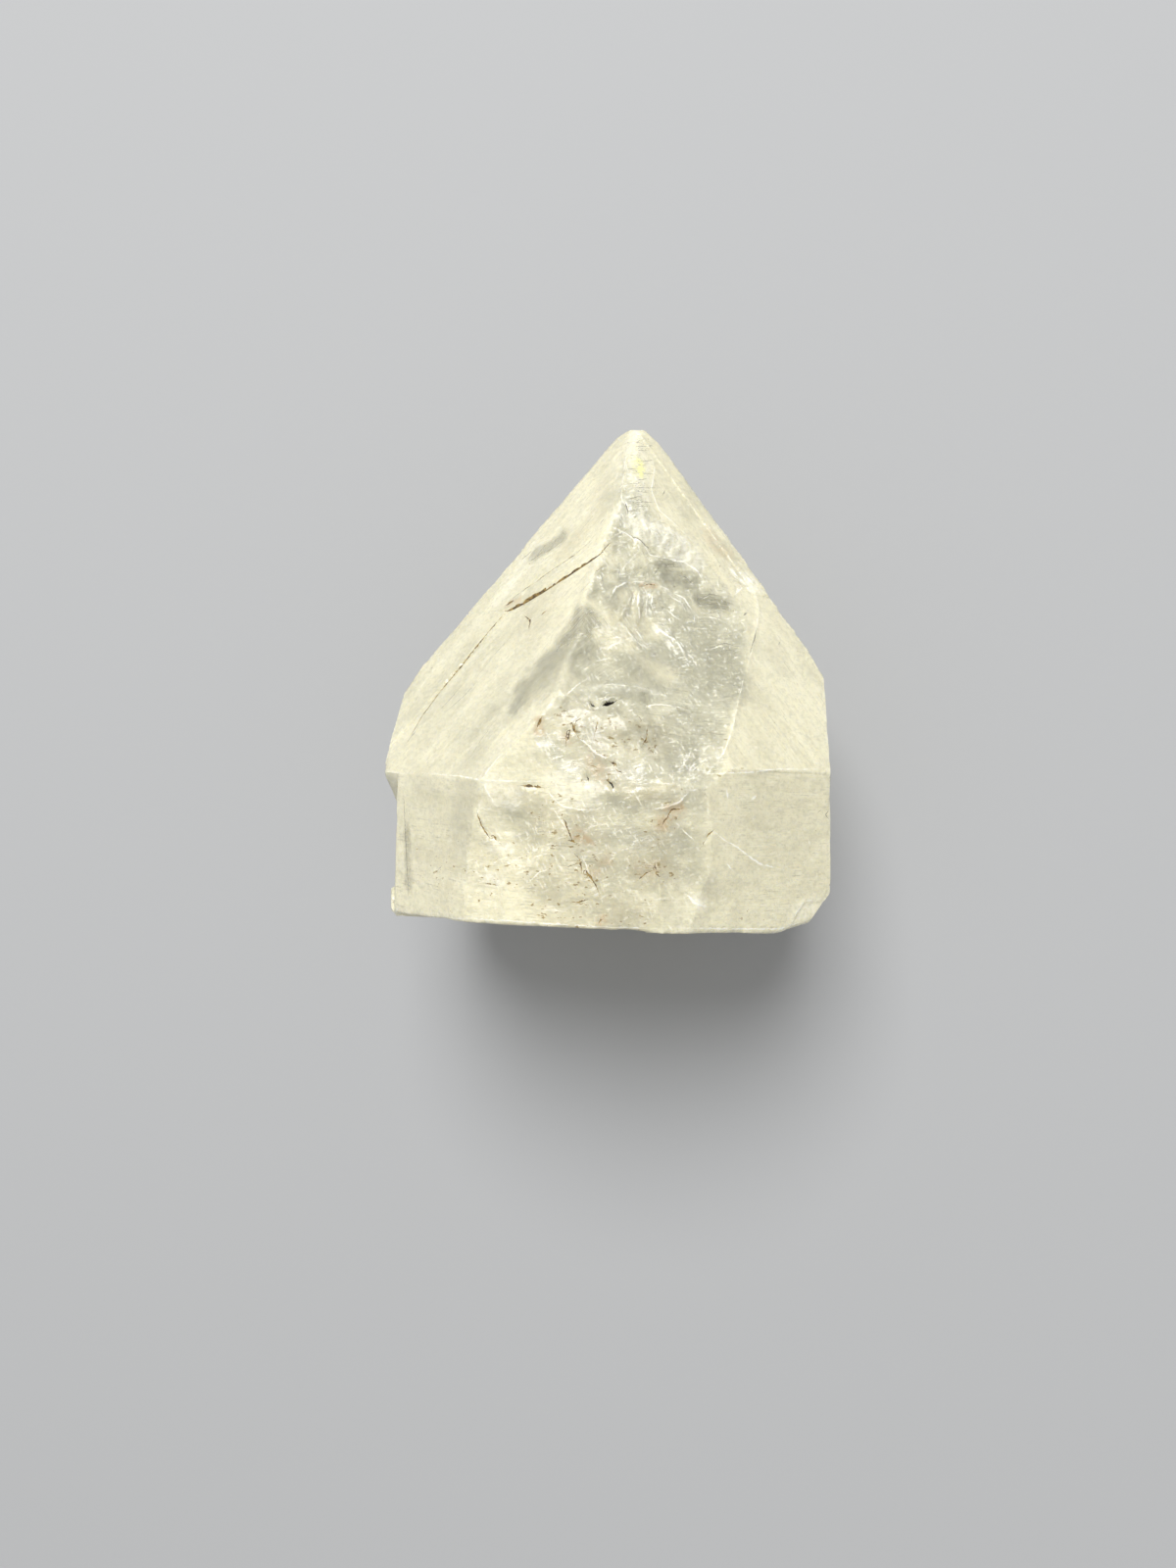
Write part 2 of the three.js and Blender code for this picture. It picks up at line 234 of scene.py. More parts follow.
points = np.empty(len(crystal.data.vertices) * 3, np.float32)
crystal.data.vertices.foreach_get("co", points)
points = points.reshape(-1, 3).astype(float) / MM
spots = points - AXIS_AT
edges = np.empty(len(crystal.data.edges) * 2, np.int32)
crystal.data.edges.foreach_get("vertices", edges)
edges = edges.reshape(-1, 2)
triangles = np.array([one.vertices[:] for one in crystal.data.polygons])
neighbours = np.bincount(edges.ravel(), minlength=len(points)).reshape(-1, 1)


def spread(values, rounds):
    """Evens values out over neighbouring points, the more the more rounds."""
    flat = values.reshape(len(points), -1)
    for _ in range(rounds):
        total = np.stack(
            [
                np.bincount(edges[:, 0], column[edges[:, 1]], len(points))
                + np.bincount(edges[:, 1], column[edges[:, 0]], len(points))
                for column in flat.T
            ],
            1,
        )
        flat = (flat + total) / (1 + neighbours)
    return flat.reshape(values.shape)


def least_around(values, rounds):
    """The least value within so many sides of each point."""
    for _ in range(rounds):
        least = values.copy()
        np.minimum.at(least, edges[:, 0], values[edges[:, 1]])
        np.minimum.at(least, edges[:, 1], values[edges[:, 0]])
        values = least
    return values


def facing(at):
    """The direction that each point faces."""
    a, b, c = (at[triangles[:, i]] for i in range(3))
    flat = np.cross(b - a, c - a)
    total = np.stack(
        [
            sum(np.bincount(triangles[:, i], flat[:, k], len(at)) for i in range(3))
            for k in range(3)
        ],
        1,
    )
    return total / np.maximum(np.linalg.norm(total, axis=1, keepdims=True), 1e-12)


outward = facing(points)
print(len(points), "points,", len(triangles), "triangles")

# %% Noise for all points at once
CORNERS = list(itertools.product((0, 1), repeat=3))
AROUND = list(itertools.product((-1, 0, 1), repeat=3))


def shuffled(cells, seed):
    """A number from -1 to 1 for each whole-numbered cell, always the same one."""
    mixed = cells.astype(np.int64) @ np.array([73856093, 19349663, 83492791]) + seed * 7919
    mixed = (mixed ^ (mixed >> 13)) * 1274126177
    mixed = (mixed ^ (mixed >> 16)) * 2246822519
    return ((mixed >> 7) & 0xFFFF) / 32767.5 - 1


def clouds(at, size, seed):
    """Smooth noise from -1 to 1, with lumps about one size across."""
    place = at / size
    cell = np.floor(place)
    part = place - cell
    part = part * part * part * (part * (part * 6 - 15) + 10)
    total = np.zeros(len(at))
    for corner in CORNERS:
        weight = np.prod(np.where(corner, part, 1 - part), axis=1)
        total += weight * shuffled(cell + corner, seed)
    return total


def layered(at, size, seed, layers=3, fade=0.55):
    """Clouds of several sizes in one, from about -1 to 1."""
    return sum(fade**i * clouds(at * 2**i, size, seed + 17 * i) for i in range(layers))


def flakes(at, size, seed, tilted=True):
    """Small facets where flakes broke away: their height, or one number for each."""
    place = at / size
    cell = np.floor(place)
    nearest = np.full(len(at), 9.0)
    height = np.zeros(len(at))
    for step in AROUND:
        here = cell + step
        middle = here + 0.5 + 0.42 * np.stack([shuffled(here, seed + k) for k in range(3)], 1)
        away = place - middle
        distance = (away**2).sum(1)
        closer = distance < nearest
        level = shuffled(here, seed + 9)
        if tilted:
            tilt = np.stack([shuffled(here, seed + 5 + k) for k in range(3)], 1)
            level = (tilt * away).sum(1) + 0.35 * level
        height = np.where(closer, level, height)
        nearest = np.minimum(nearest, distance)
    return height


def ease(value, low, high):
    """0 up to low, 1 from high, and smooth in between."""
    part = np.clip((value - low) / (high - low), 0, 1)
    return part * part * (3 - 2 * part)


sample = clouds(spots, 4, 1)
print("clouds run from", sample.min().round(2), "to", sample.max().round(2))

# %% [markdown]
# ## Which face a point lies on
#
# Apophyllite belongs to the tetragonal system: its unit cell is square, and 1.76 times as
# high as it is wide. That sets the slope of the pyramid's faces, 60.4 degrees. A face
# that grew is told from a break by its direction. Each grown face then gets its own two
# directions, one across its growth lines and one along them. Pyramid faces are lined along
# their edges, and walls across the crystal, where the cleavage meets them. The broken base
# leans by about six degrees, as it does in the solid.

# %% Name the grown faces
CELL_SIDE, CELL_HEIGHT = 8.96, 15.78
SLOPE = math.atan(CELL_HEIGHT / CELL_SIDE)
RIGHT_WALL_LEAN = math.radians(4.2)
LONG_WAY = np.array([0.0, 1.0, 0.0])
BASE_WAY = np.array([0.0279, -1.0, 0.0988])
# Cosines of 9.9 and 3.6 degrees, between which a point passes from off a face to on it.
OFF_FACE, ON_FACE = 0.985, 0.998


def sideways(degrees):
    """A direction square to the long axis: 0 is right, 90 is up."""
    angle = math.radians(degrees)
    return np.array([math.cos(angle), 0.0, math.sin(angle)])


def unit(vector):
    """The same direction with a length of 1."""
    return vector / np.linalg.norm(vector)


def pyramid(degrees):
    """The direction that the pyramid's face on that side looks in."""
    return sideways(degrees) * math.sin(SLOPE) + LONG_WAY * math.cos(SLOPE)


wall_right = np.array([math.cos(RIGHT_WALL_LEAN), math.sin(RIGHT_WALL_LEAN), 0.0])
left_edge = unit(np.cross(pyramid(135), pyramid(225)))
right_edge = unit(np.cross(pyramid(315), pyramid(45)))
grown_faces = [
    (pyramid(135), left_edge),
    (pyramid(45), right_edge),
    (pyramid(225), left_edge),
    (pyramid(315), right_edge),
    (wall_right, sideways(90)),
]
for degrees in (90, 180, 270, 45, 135, 225, 315):
    grown_faces.append((sideways(degrees), sideways(degrees + 90)))

alike = np.stack([outward @ direction for direction, _ in grown_faces], 1)
which = alike.argmax(1)
grown = spread(ease(alike.max(1), OFF_FACE, ON_FACE), 2)
cleaved = spread(ease(outward @ unit(BASE_WAY), OFF_FACE, ON_FACE), 2)
along_line = np.array([line for _, line in grown_faces])[which]
face_way = np.array([direction for direction, _ in grown_faces])[which]
across_line = np.cross(face_way, along_line)
across = (spots * across_line).sum(1)
along = (spots * along_line).sum(1)
print("grown", round(grown.mean(), 2), "cleaved", round(cleaved.mean(), 2), "of the skin")

# %% [markdown]
# ## Marks that the photograph places
#
# Cracks, fracture edges with painted highlights and clear windows sit where the photograph
# shows them. A mark is a named list of picture points. Each one is sent out from the camera
# as a ray, and lands on the skin, so the mark lies on the stone and turns with it. The skin
# keeps two numbers for thin lines: how far a point is from the line's middle, with a sign
# for the side, and how wide the line is there. Between points of the skin those numbers run
# on evenly, so the material can draw a line that is thinner than a triangle.

# %% Land picture points on the skin
TIP_IN_PICTURE = (650, 470)
skin_tree = BVHTree.FromPolygons([tuple(p) for p in points], triangles.tolist())


def landed(spot):
    """Where a picture point's ray meets the skin, in millimetres, or None."""
    x, y = spot
    ray = CAMERA_RIGHT * ((x - PHOTO_WIDE / 2) / FOCAL_PIXELS)
    ray += CAMERA_UP * ((PHOTO_HIGH / 2 - y) / FOCAL_PIXELS) - CAMERA_BACK
    hit = skin_tree.ray_cast(CAMERA_AT, ray.normalized())[0]
    return None if hit is None else np.array(hit)


def traced(line, step=6):
    """A picture line as points on the skin, a step of pixels apart."""
    landings = []
    for (x0, y0), (x1, y1) in zip(line, line[1:]):
        count = max(1, round(math.hypot(x1 - x0, y1 - y0) / step))
        for i in range(count):
            landings.append(landed((x0 + (x1 - x0) * i / count, y0 + (y1 - y0) * i / count)))
    landings.append(landed(line[-1]))
    return [one for one in landings if one is not None]


def beside(line, reach):
    """Points within reach of a traced line: their numbers, distance with side, and place."""
    ends = np.array(line)
    low, high = ends.min(0) - reach, ends.max(0) + reach
    near = np.nonzero(((points > low) & (points < high)).all(1))[0]
    best = np.full(len(near), 99.0)
    side = np.ones(len(near))
    place = np.zeros(len(near))
    for i, (start, end) in enumerate(zip(ends, ends[1:])):
        way = end - start
        part = np.clip(((points[near] - start) @ way) / max(way @ way, 1e-9), 0, 1)
        away = points[near] - start - part[:, None] * way
        distance = np.linalg.norm(away, axis=1)
        closer = distance < best
        turned = (np.cross(way, outward[near]) * away).sum(1)
        side = np.where(closer, np.where(turned < 0, -1, 1), side)
        place = np.where(closer, (i + part) / (len(ends) - 1), place)
        best = np.minimum(best, distance)
    kept = best < reach
    return near[kept], (side * best)[kept], place[kept]


print("the tip's picture point lands at", landed(TIP_IN_PICTURE).round(1), "mm")

# %% Cracks that hold clay
# Each crack has its picture points, half its width and its depth, in millimetres.
CLAY_CRACKS = [
    ([(621, 556), (604, 570), (580, 586), (556, 601)], 0.2, 0.3),
    ([(572, 591), (556, 601), (540, 611), (517, 623)], 0.32, 0.36),
    ([(602, 552), (585, 566), (556, 586), (534, 602), (518, 614)], 0.06, 0.1),
    ([(517, 617), (524, 613)], 0.16, 0.1),
    ([(515, 625), (497, 646), (470, 680), (445, 710), (430, 730), (418, 752)], 0.08, 0.1),
    ([(540, 641), (541, 633), (536, 629)], 0.09, 0.08),
    ([(552, 628), (560, 621)], 0.07, 0.06),
    ([(548, 742), (552, 734)], 0.16, 0.12),
    ([(578, 757), (580, 751), (576, 753)], 0.14, 0.12),
    ([(584, 738), (586, 746), (591, 753)], 0.13, 0.2),
    ([(583, 738), (592, 734)], 0.08, 0.1),
    ([(661, 743), (660, 752), (656, 759)], 0.08, 0.1),
    ([(650, 730), (654, 736)], 0.06, 0.06),
    ([(610, 734), (608, 744), (606, 752)], 0.06, 0.06),
    ([(534, 802), (545, 803), (556, 804)], 0.16, 0.3),
    ([(487, 833), (491, 843), (498, 853)], 0.14, 0.26),
    ([(504, 854), (507, 858)], 0.1, 0.1),
    ([(571, 829), (577, 840), (583, 856)], 0.08, 0.12),
    ([(580, 857), (586, 859)], 0.13, 0.12),
    ([(556, 863), (569, 863)], 0.06, 0.06),
    ([(588, 873), (594, 880)], 0.07, 0.1),
    ([(598, 889), (604, 898), (611, 910)], 0.11, 0.2),
    ([(578, 885), (592, 880), (594, 892)], 0.06, 0.06),
    ([(652, 897), (662, 889), (671, 888)], 0.07, 0.1),
    ([(669, 881), (670, 890), (673, 894)], 0.12, 0.14),
    ([(676, 842), (682, 832), (686, 826), (694, 826)], 0.08, 0.1),
    ([(673, 858), (674, 866)], 0.06, 0.08),
    ([(717, 862), (722, 853), (729, 846)], 0.07, 0.12),
    ([(580, 920), (588, 921), (597, 919)], 0.1, 0.14),
    ([(444, 890), (450, 884)], 0.09, 0.08),
    ([(497, 902), (507, 903)], 0.07, 0.06),
    ([(611, 941), (614, 938)], 0.12, 0.06),
    ([(622, 777), (628, 780)], 0.16, 0.14),
    ([(601, 780), (607, 783)], 0.1, 0.1),
    ([(629, 785), (633, 788)], 0.1, 0.1),
    ([(608, 583), (616, 577)], 0.05, 0.04),
    ([(655, 598), (662, 596), (668, 598)], 0.07, 0.04),
]
print(len(CLAY_CRACKS), "cracks")

# %% Deep pits, with painted shade in them
PITS = [
    ([(617, 718), (622, 715), (628, 714)], 0.24, 0.9),
    ([(604, 716), (608, 719)], 0.15, 0.6),
    ([(599, 793), (600, 796)], 0.1, 0.4),
    ([(620, 797), (624, 801), (627, 806)], 0.1, 0.4),
    ([(638, 513), (640, 518), (641, 524)], 0.07, 0.25),
]
print(len(PITS), "pits")

# %% Dark hairlines
# These are tight cracks and growth lines that hold no clay. They are too thin to cut
# into the mesh, so they have no depth.
HAIRLINES = [
    ([(643, 545), (653, 553), (662, 560)], 0.11, 0),
    ([(668, 571), (680, 573), (694, 577)], 0.06, 0),
    ([(670, 574), (684, 578), (693, 579)], 0.06, 0),
    ([(676, 570), (690, 572)], 0.05, 0),
    ([(690, 586), (700, 590), (706, 596)], 0.08, 0),
    ([(714, 612), (724, 606), (735, 609)], 0.1, 0),
    ([(716, 618), (728, 616), (740, 620)], 0.08, 0),
    ([(722, 626), (732, 625)], 0.07, 0),
    ([(725, 660), (740, 657), (757, 660)], 0.09, 0),
    ([(728, 666), (745, 664), (757, 667)], 0.06, 0),
    ([(772, 641), (769, 654), (765, 667)], 0.09, 0),
    ([(759, 628), (762, 625)], 0.1, 0),
    ([(532, 571), (543, 562)], 0.09, 0),
    ([(540, 573), (550, 566)], 0.08, 0),
    ([(548, 566), (556, 556)], 0.08, 0),
    ([(556, 564), (566, 558)], 0.1, 0),
    ([(562, 556), (570, 549)], 0.07, 0),
    ([(551, 575), (560, 568)], 0.06, 0),
    ([(497, 603), (478, 628), (452, 662)], 0.05, 0),
    ([(492, 690), (474, 710), (453, 728)], 0.06, 0),
    ([(474, 696), (460, 712), (448, 725)], 0.07, 0),
    ([(424, 746), (415, 758)], 0.09, 0),
    ([(530, 640), (505, 668), (480, 700)], 0.05, 0),
    ([(505, 735), (490, 756), (478, 775)], 0.05, 0),
    ([(610, 520), (590, 545)], 0.05, 0),
    ([(612, 535), (616, 530)], 0.1, 0),
    ([(674, 530), (672, 524)], 0.07, 0),
    ([(679, 500), (676, 505)], 0.08, 0),
    ([(597, 625), (586, 640), (575, 652)], 0.1, 0),
    ([(602, 622), (592, 640)], 0.08, 0),
    ([(846, 826), (842, 832), (846, 836)], 0.07, 0),
    ([(838, 826), (834, 830)], 0.05, 0),
    ([(412, 812), (414, 860), (417, 918)], 0.1, 0),
    ([(650, 447), (652, 451), (649, 453)], 0.06, 0),
    ([(796, 655), (794, 658)], 0.07, 0),
    ([(800, 676), (802, 679)], 0.07, 0),
]
print(len(HAIRLINES), "hairlines")

# %% Short dashes across the worn tip
# They lie below one another, start and end at three places by turns, and most tilt a little.
DASHES, FIRST_DASH_Y, DASH_GAP = 16, 450, 4.8
DASH_LEFT, LEFT_SHIFT = 638, 6
DASH_RIGHT, RIGHT_SHIFT = 654, 7
for dash in range(DASHES):
    y = FIRST_DASH_Y + DASH_GAP * dash
    left = DASH_LEFT + LEFT_SHIFT * (dash % 3)
    right = DASH_RIGHT + RIGHT_SHIFT * (2 * dash % 3)
    HAIRLINES.append(([(left, y + 2 - dash % 4), (right, y)], 0.07, 0))
print("with the dashes", len(HAIRLINES), "hairlines")

# %% Broken edges, stepped in the mesh, with painted highlights along them
# Each line has its picture points, half its width, and how high one side stands over
# the other. The step is real relief, and the white drawn along the line is painted highlight.
EDGES_WITH_PAINTED_HIGHLIGHTS = [
    ([(745, 590), (762, 597), (771, 607), (774, 622), (772, 640), (766, 668), (759, 690)], 0.05, 0.1),
    ([(759, 690), (753, 716), (747, 743), (740, 765), (732, 778), (720, 790), (709, 799)], 0.07, 0.12),
    ([(703, 808), (692, 819), (680, 823), (668, 825)], 0.09, 0.16),
    ([(489, 799), (500, 784), (511, 770)], 0.08, 0.08),
    ([(430, 789), (470, 792), (489, 796), (520, 797), (558, 797)], 0.07, 0.1),
    ([(642, 801), (668, 799), (694, 801)], 0.05, 0.08),
    ([(700, 797), (722, 790), (745, 789), (768, 788), (790, 785), (846, 785)], 0.07, 0.06),
    ([(625, 538), (640, 545), (655, 555), (664, 566)], 0.1, 0.12),
    ([(664, 566), (680, 570), (697, 574), (712, 585), (722, 600)], 0.1, 0.1),
    ([(620, 614), (628, 600), (640, 594), (655, 594), (668, 597)], 0.09, 0.2),
    ([(668, 598), (684, 603), (698, 612), (708, 626), (708, 634), (698, 636)], 0.09, 0.1),
    ([(698, 636), (686, 628), (674, 616), (670, 604)], 0.06, 0.08),
    ([(651, 606), (649, 618), (652, 632)], 0.16, 0.06),
    ([(665, 606), (664, 616), (667, 624)], 0.1, 0.06),
    ([(644, 608), (636, 622), (626, 640)], 0.06, 0.08),
    ([(708, 630), (722, 630), (741, 634)], 0.05, 0.04),
    ([(718, 663), (735, 660), (750, 661)], 0.05, 0.06),
    ([(620, 652), (628, 651), (635, 650)], 0.09, 0.06),
    ([(616, 666), (624, 659), (633, 655)], 0.09, 0.06),
    ([(606, 676), (618, 672), (630, 672)], 0.06, 0.04),
    ([(637, 640), (641, 648), (647, 656)], 0.12, 0.08),
    ([(642, 650), (649, 654), (655, 661)], 0.1, 0.06),
    ([(647, 641), (651, 646), (656, 653)], 0.1, 0.06),
    ([(665, 634), (672, 645), (680, 650), (687, 655), (695, 665), (703, 675)], 0.13, 0.14),
    ([(677, 605), (688, 613), (697, 622), (700, 630)], 0.06, 0.05),
    ([(660, 604), (659, 616), (659, 630)], 0.08, 0.05),
    ([(642, 700), (660, 704), (680, 711), (692, 716)], 0.06, 0.06),
    ([(575, 712), (588, 700), (600, 692)], 0.07, 0.05),
    ([(697, 787), (698, 776), (694, 766)], 0.05, 0.04),
    ([(640, 776), (655, 770), (668, 772)], 0.05, 0.04),
    ([(752, 604), (757, 600)], 0.2, 0.04),
    ([(604, 700), (625, 698), (650, 702), (676, 708)], 0.05, 0.07),
    ([(650, 722), (668, 719), (688, 721), (702, 726)], 0.08, 0.09),
    ([(591, 753), (600, 760), (608, 768), (618, 774), (626, 770)], 0.12, 0.1),
    ([(556, 802), (564, 814), (574, 823), (590, 826), (604, 827)], 0.08, 0.14),
    ([(570, 870), (580, 880)], 0.06, 0.04),
    ([(592, 870), (598, 882), (602, 895)], 0.06, 0.04),
    ([(540, 900), (550, 890), (562, 886)], 0.05, 0.03),
    ([(741, 805), (743, 815)], 0.1, 0.03),
    ([(742, 882), (747, 888)], 0.1, 0.04),
    ([(824, 856), (827, 862)], 0.12, 0.03),
    ([(612, 717), (617, 713), (624, 711), (631, 712)], 0.1, 0.03),
    ([(562, 822), (572, 836), (578, 846)], 0.06, 0.06),
    ([(700, 792), (706, 782), (716, 770), (727, 756)], 0.06, 0.06),
    ([(704, 790), (713, 780), (725, 771)], 0.05, 0.05),
    ([(692, 786), (700, 776), (706, 764)], 0.05, 0.05),
    ([(727, 847), (738, 857), (752, 864), (764, 874), (776, 882), (798, 887)], 0.09, 0.1),
    ([(690, 840), (700, 850), (712, 861)], 0.06, 0.05),
    ([(702, 914), (710, 922), (720, 925)], 0.16, 0.12),
    ([(806, 946), (812, 932), (820, 920), (833, 917), (843, 918)], 0.07, 0.14),
    ([(690, 700), (692, 690), (700, 680)], 0.05, 0.04),
    ([(654, 560), (640, 575), (628, 590)], 0.05, 0.03),
    ([(642, 572), (634, 584), (628, 592)], 0.05, 0.03),
    ([(745, 580), (756, 592), (766, 604)], 0.2, 0.06),
    ([(760, 586), (768, 596)], 0.22, 0.1),
    ([(560, 541), (540, 560), (516, 584)], 0.05, 0.03),
    ([(620, 553), (600, 560), (574, 580), (548, 598), (524, 612)], 0.05, 0.06),
    ([(640, 455), (637, 480), (634, 505), (632, 525)], 0.07, 0.1),
    ([(664, 462), (668, 480), (664, 500), (672, 520), (694, 540), (706, 552)], 0.07, 0.08),
    ([(768, 816), (772, 812)], 0.12, 0.05),
    ([(494, 802), (500, 812), (510, 820)], 0.1, 0.06),
    ([(421, 936), (490, 938), (552, 942), (610, 946), (672, 948)], 0.08, 0.03),
    ([(694, 947), (740, 948), (796, 948), (822, 940)], 0.08, 0.03),
]
print(len(EDGES_WITH_PAINTED_HIGHLIGHTS), "bright lines")

# %% Shell-shaped lobes
# Each lobe has the picture points of its two ends, its half width and its height.
LOBES = [
    ((668, 597), (710, 636), 1.1, 0.34),
    ((662, 600), (684, 630), 0.7, 0.24),
    ((652, 600), (649, 638), 0.6, 0.26),
    ((645, 600), (630, 634), 0.6, 0.2),
    ((634, 636), (652, 664), 0.7, 0.22),
    ((666, 636), (700, 668), 0.8, 0.24),
    ((640, 528), (712, 566), 1.2, 0.3),
    ((700, 578), (728, 604), 0.9, 0.22),
    ((604, 704), (676, 712), 0.9, 0.2),
    ((700, 800), (734, 768), 0.5, 0.2),
    ((694, 790), (712, 764), 0.4, 0.16),
    ((712, 806), (738, 784), 0.4, 0.14),
    ((562, 806), (606, 826), 1.0, 0.24),
    ((604, 756), (628, 776), 1.0, 0.24),
    ((626, 812), (664, 824), 0.9, 0.16),
    ((500, 806), (552, 828), 1.4, 0.16),
    ((640, 500), (662, 520), 0.8, 0.16),
]
print(len(LOBES), "lobes")

# %% Clear windows and frosted patches
# Each patch has its picture points, its half width in millimetres and its strength.
CLEAR_WINDOWS = [
    ([(600, 626), (592, 636), (580, 650)], 1.8, 1.0),
    ([(590, 650), (562, 680), (540, 705)], 2.6, 0.65),
    ([(578, 690), (570, 712)], 1.8, 0.4),
    ([(500, 735), (490, 765)], 1.8, 0.15),
    ([(716, 613), (738, 617)], 0.9, 0.75),
    ([(682, 586), (704, 594)], 1.0, 0.5),
    ([(672, 576), (692, 575)], 0.6, 0.6),
    ([(620, 680), (700, 690)], 4.0, 0.1),
    ([(612, 708), (660, 711)], 0.7, 0.3),
    ([(735, 655), (745, 700)], 2.6, 0.3),
    ([(705, 745), (690, 765)], 2.6, 0.4),
    ([(738, 560), (750, 585)], 1.6, 0.3),
    ([(545, 566), (560, 558), (571, 550)], 1.1, 0.8),
    ([(700, 520), (690, 510)], 1.4, 0.15),
    ([(600, 760), (650, 765)], 4.2, 0.3),
    ([(605, 880), (650, 850), (640, 890)], 4.6, 0.3),
    ([(640, 615), (650, 650)], 2.6, 0.5),
    ([(655, 680), (690, 690)], 2.6, 0.3),
    ([(630, 852), (668, 862)], 1.6, 0.5),
    ([(430, 835), (470, 850)], 3.6, 0.12),
    ([(637, 518), (622, 555), (606, 592), (594, 618)], 0.9, 0.32),
    ([(616, 474), (630, 456)], 1.6, 0.15),
    ([(530, 840), (545, 845)], 2.2, 0.3),
    ([(600, 840), (640, 838), (620, 865)], 2.2, 0.25),
    ([(770, 830), (800, 850)], 3.6, 0.08),
    ([(560, 905), (620, 925)], 2.0, 0.3),
    ([(700, 880), (690, 860)], 1.8, 0.35),
    ([(416, 850), (417, 900)], 0.8, 0.7),
]
FROST_AND_GLINT_PATCHES = [
    ([(646, 446), (654, 470), (652, 500), (650, 520)], 1.3, 0.6),
    ([(640, 525), (655, 540), (680, 552), (708, 572)], 1.3, 0.9),
    ([(604, 702), (650, 703), (676, 709)], 0.5, 0.5),
    ([(672, 642), (692, 664)], 0.7, 0.35),
    ([(596, 725), (600, 765), (640, 775)], 2.0, 0.2),
    ([(604, 770), (626, 768)], 1.0, 0.5),
    ([(570, 800), (600, 812)], 1.6, 0.6),
    ([(500, 800), (520, 815)], 1.2, 0.6),
    ([(763, 590), (770, 600)], 1.0, 0.9),
    # These two patches are painted glints: small white highlights drawn as frost.
    ([(500, 866), (520, 865)], 0.5, 0.4),
    ([(500, 896), (509, 899)], 0.5, 0.8),
    ([(712, 919), (716, 923)], 0.6, 1.0),
    ([(812, 935), (830, 925)], 1.4, 0.5),
    ([(545, 562), (512, 606)], 1.4, 0.4),
    ([(700, 785), (720, 768)], 1.4, 0.2),
]
print(len(CLEAR_WINDOWS), "clear windows and", len(FROST_AND_GLINT_PATCHES), "frosted patches")

# %% Clayey and warm patches, stains and one glint
# Clayey patches are dulled by clay in their cracks. Warm ones are a browner cream.
CLAYEY = [
    ([(585, 735), (612, 745), (640, 740), (662, 752)], 2.2, 0.6),
    ([(600, 775), (625, 795)], 1.8, 0.6),
    ([(560, 830), (585, 850), (605, 885)], 2.6, 0.6),
    ([(500, 880), (580, 890)], 3.0, 0.45),
    ([(650, 885), (676, 893)], 1.6, 0.7),
    ([(680, 830), (670, 860)], 1.6, 0.5),
    ([(430, 880), (460, 890)], 2.0, 0.4),
    ([(560, 925), (640, 935)], 2.4, 0.5),
    ([(790, 665), (800, 680)], 1.5, 0.3),
]
WARM = [
    ([(645, 808), (685, 810)], 1.0, 0.9),
    ([(505, 806), (545, 812)], 0.9, 0.5),
    ([(565, 612), (535, 645), (545, 625)], 2.4, 0.6),
    ([(430, 805), (480, 820), (440, 860)], 3.4, 0.2),
    ([(735, 870), (800, 910)], 4.6, 0.05),
    ([(715, 820), (820, 810)], 3.0, 0.1),
    ([(590, 880), (640, 920)], 3.4, 0.3),
    ([(612, 500), (606, 530), (580, 560)], 1.4, 0.6),
]
STAINED = [
    ([(724, 548), (738, 562)], 1.2, 0.35),
    ([(676, 838), (686, 828), (694, 826)], 0.7, 0.9),
    ([(588, 852), (600, 857)], 0.5, 0.9),
    ([(604, 776), (616, 790)], 0.7, 0.5),
    ([(548, 735), (550, 746)], 0.5, 0.7),
    ([(576, 752), (582, 756)], 0.5, 0.6),
    ([(518, 618), (530, 612)], 0.5, 0.6),
    ([(655, 598), (668, 598)], 0.3, 0.8),
    ([(612, 941), (616, 938)], 0.4, 0.8),
    ([(655, 888), (672, 884)], 0.7, 0.4),
    ([(622, 878), (604, 890)], 0.5, 0.4),
]
GLINTING = [([(652, 470), (652, 482)], 0.7, 0.8)]
print(len(CLAYEY), "clayey patches,", len(WARM), "warm ones and", len(STAINED), "stains")

# %% Worn and laced patches
# At worn patches a fold of the solid is rubbed smooth. Laced ones are full of fine strokes.
WORN = [
    ([(489, 821), (554, 812)], 1.0, 1.0),
    ([(612, 848), (640, 862), (668, 866)], 2.0, 1.0),
]
LACED = [
    ([(616, 648), (640, 648), (655, 655)], 1.6, 1.0),
    ([(672, 640), (690, 655), (704, 674)], 1.0, 1.0),
    ([(640, 620), (652, 600), (660, 625)], 1.2, 0.7),
    ([(640, 470), (655, 520), (690, 560)], 1.6, 0.8),
    ([(700, 790), (725, 765)], 1.6, 0.4),
    ([(640, 580), (630, 565)], 1.8, 0.6),
    ([(580, 760), (640, 790)], 3.0, 0.6),
    ([(500, 790), (515, 765)], 1.4, 0.4),
    ([(490, 870), (560, 885), (640, 895)], 3.6, 0.5),
    ([(555, 830), (650, 850)], 3.0, 0.5),
    ([(545, 560), (515, 600)], 1.4, 0.5),
    ([(730, 545), (752, 580)], 1.6, 0.5),
    ([(637, 518), (622, 555), (606, 592)], 1.1, 0.8),
]
print(len(WORN), "worn patches and", len(LACED), "laced ones")

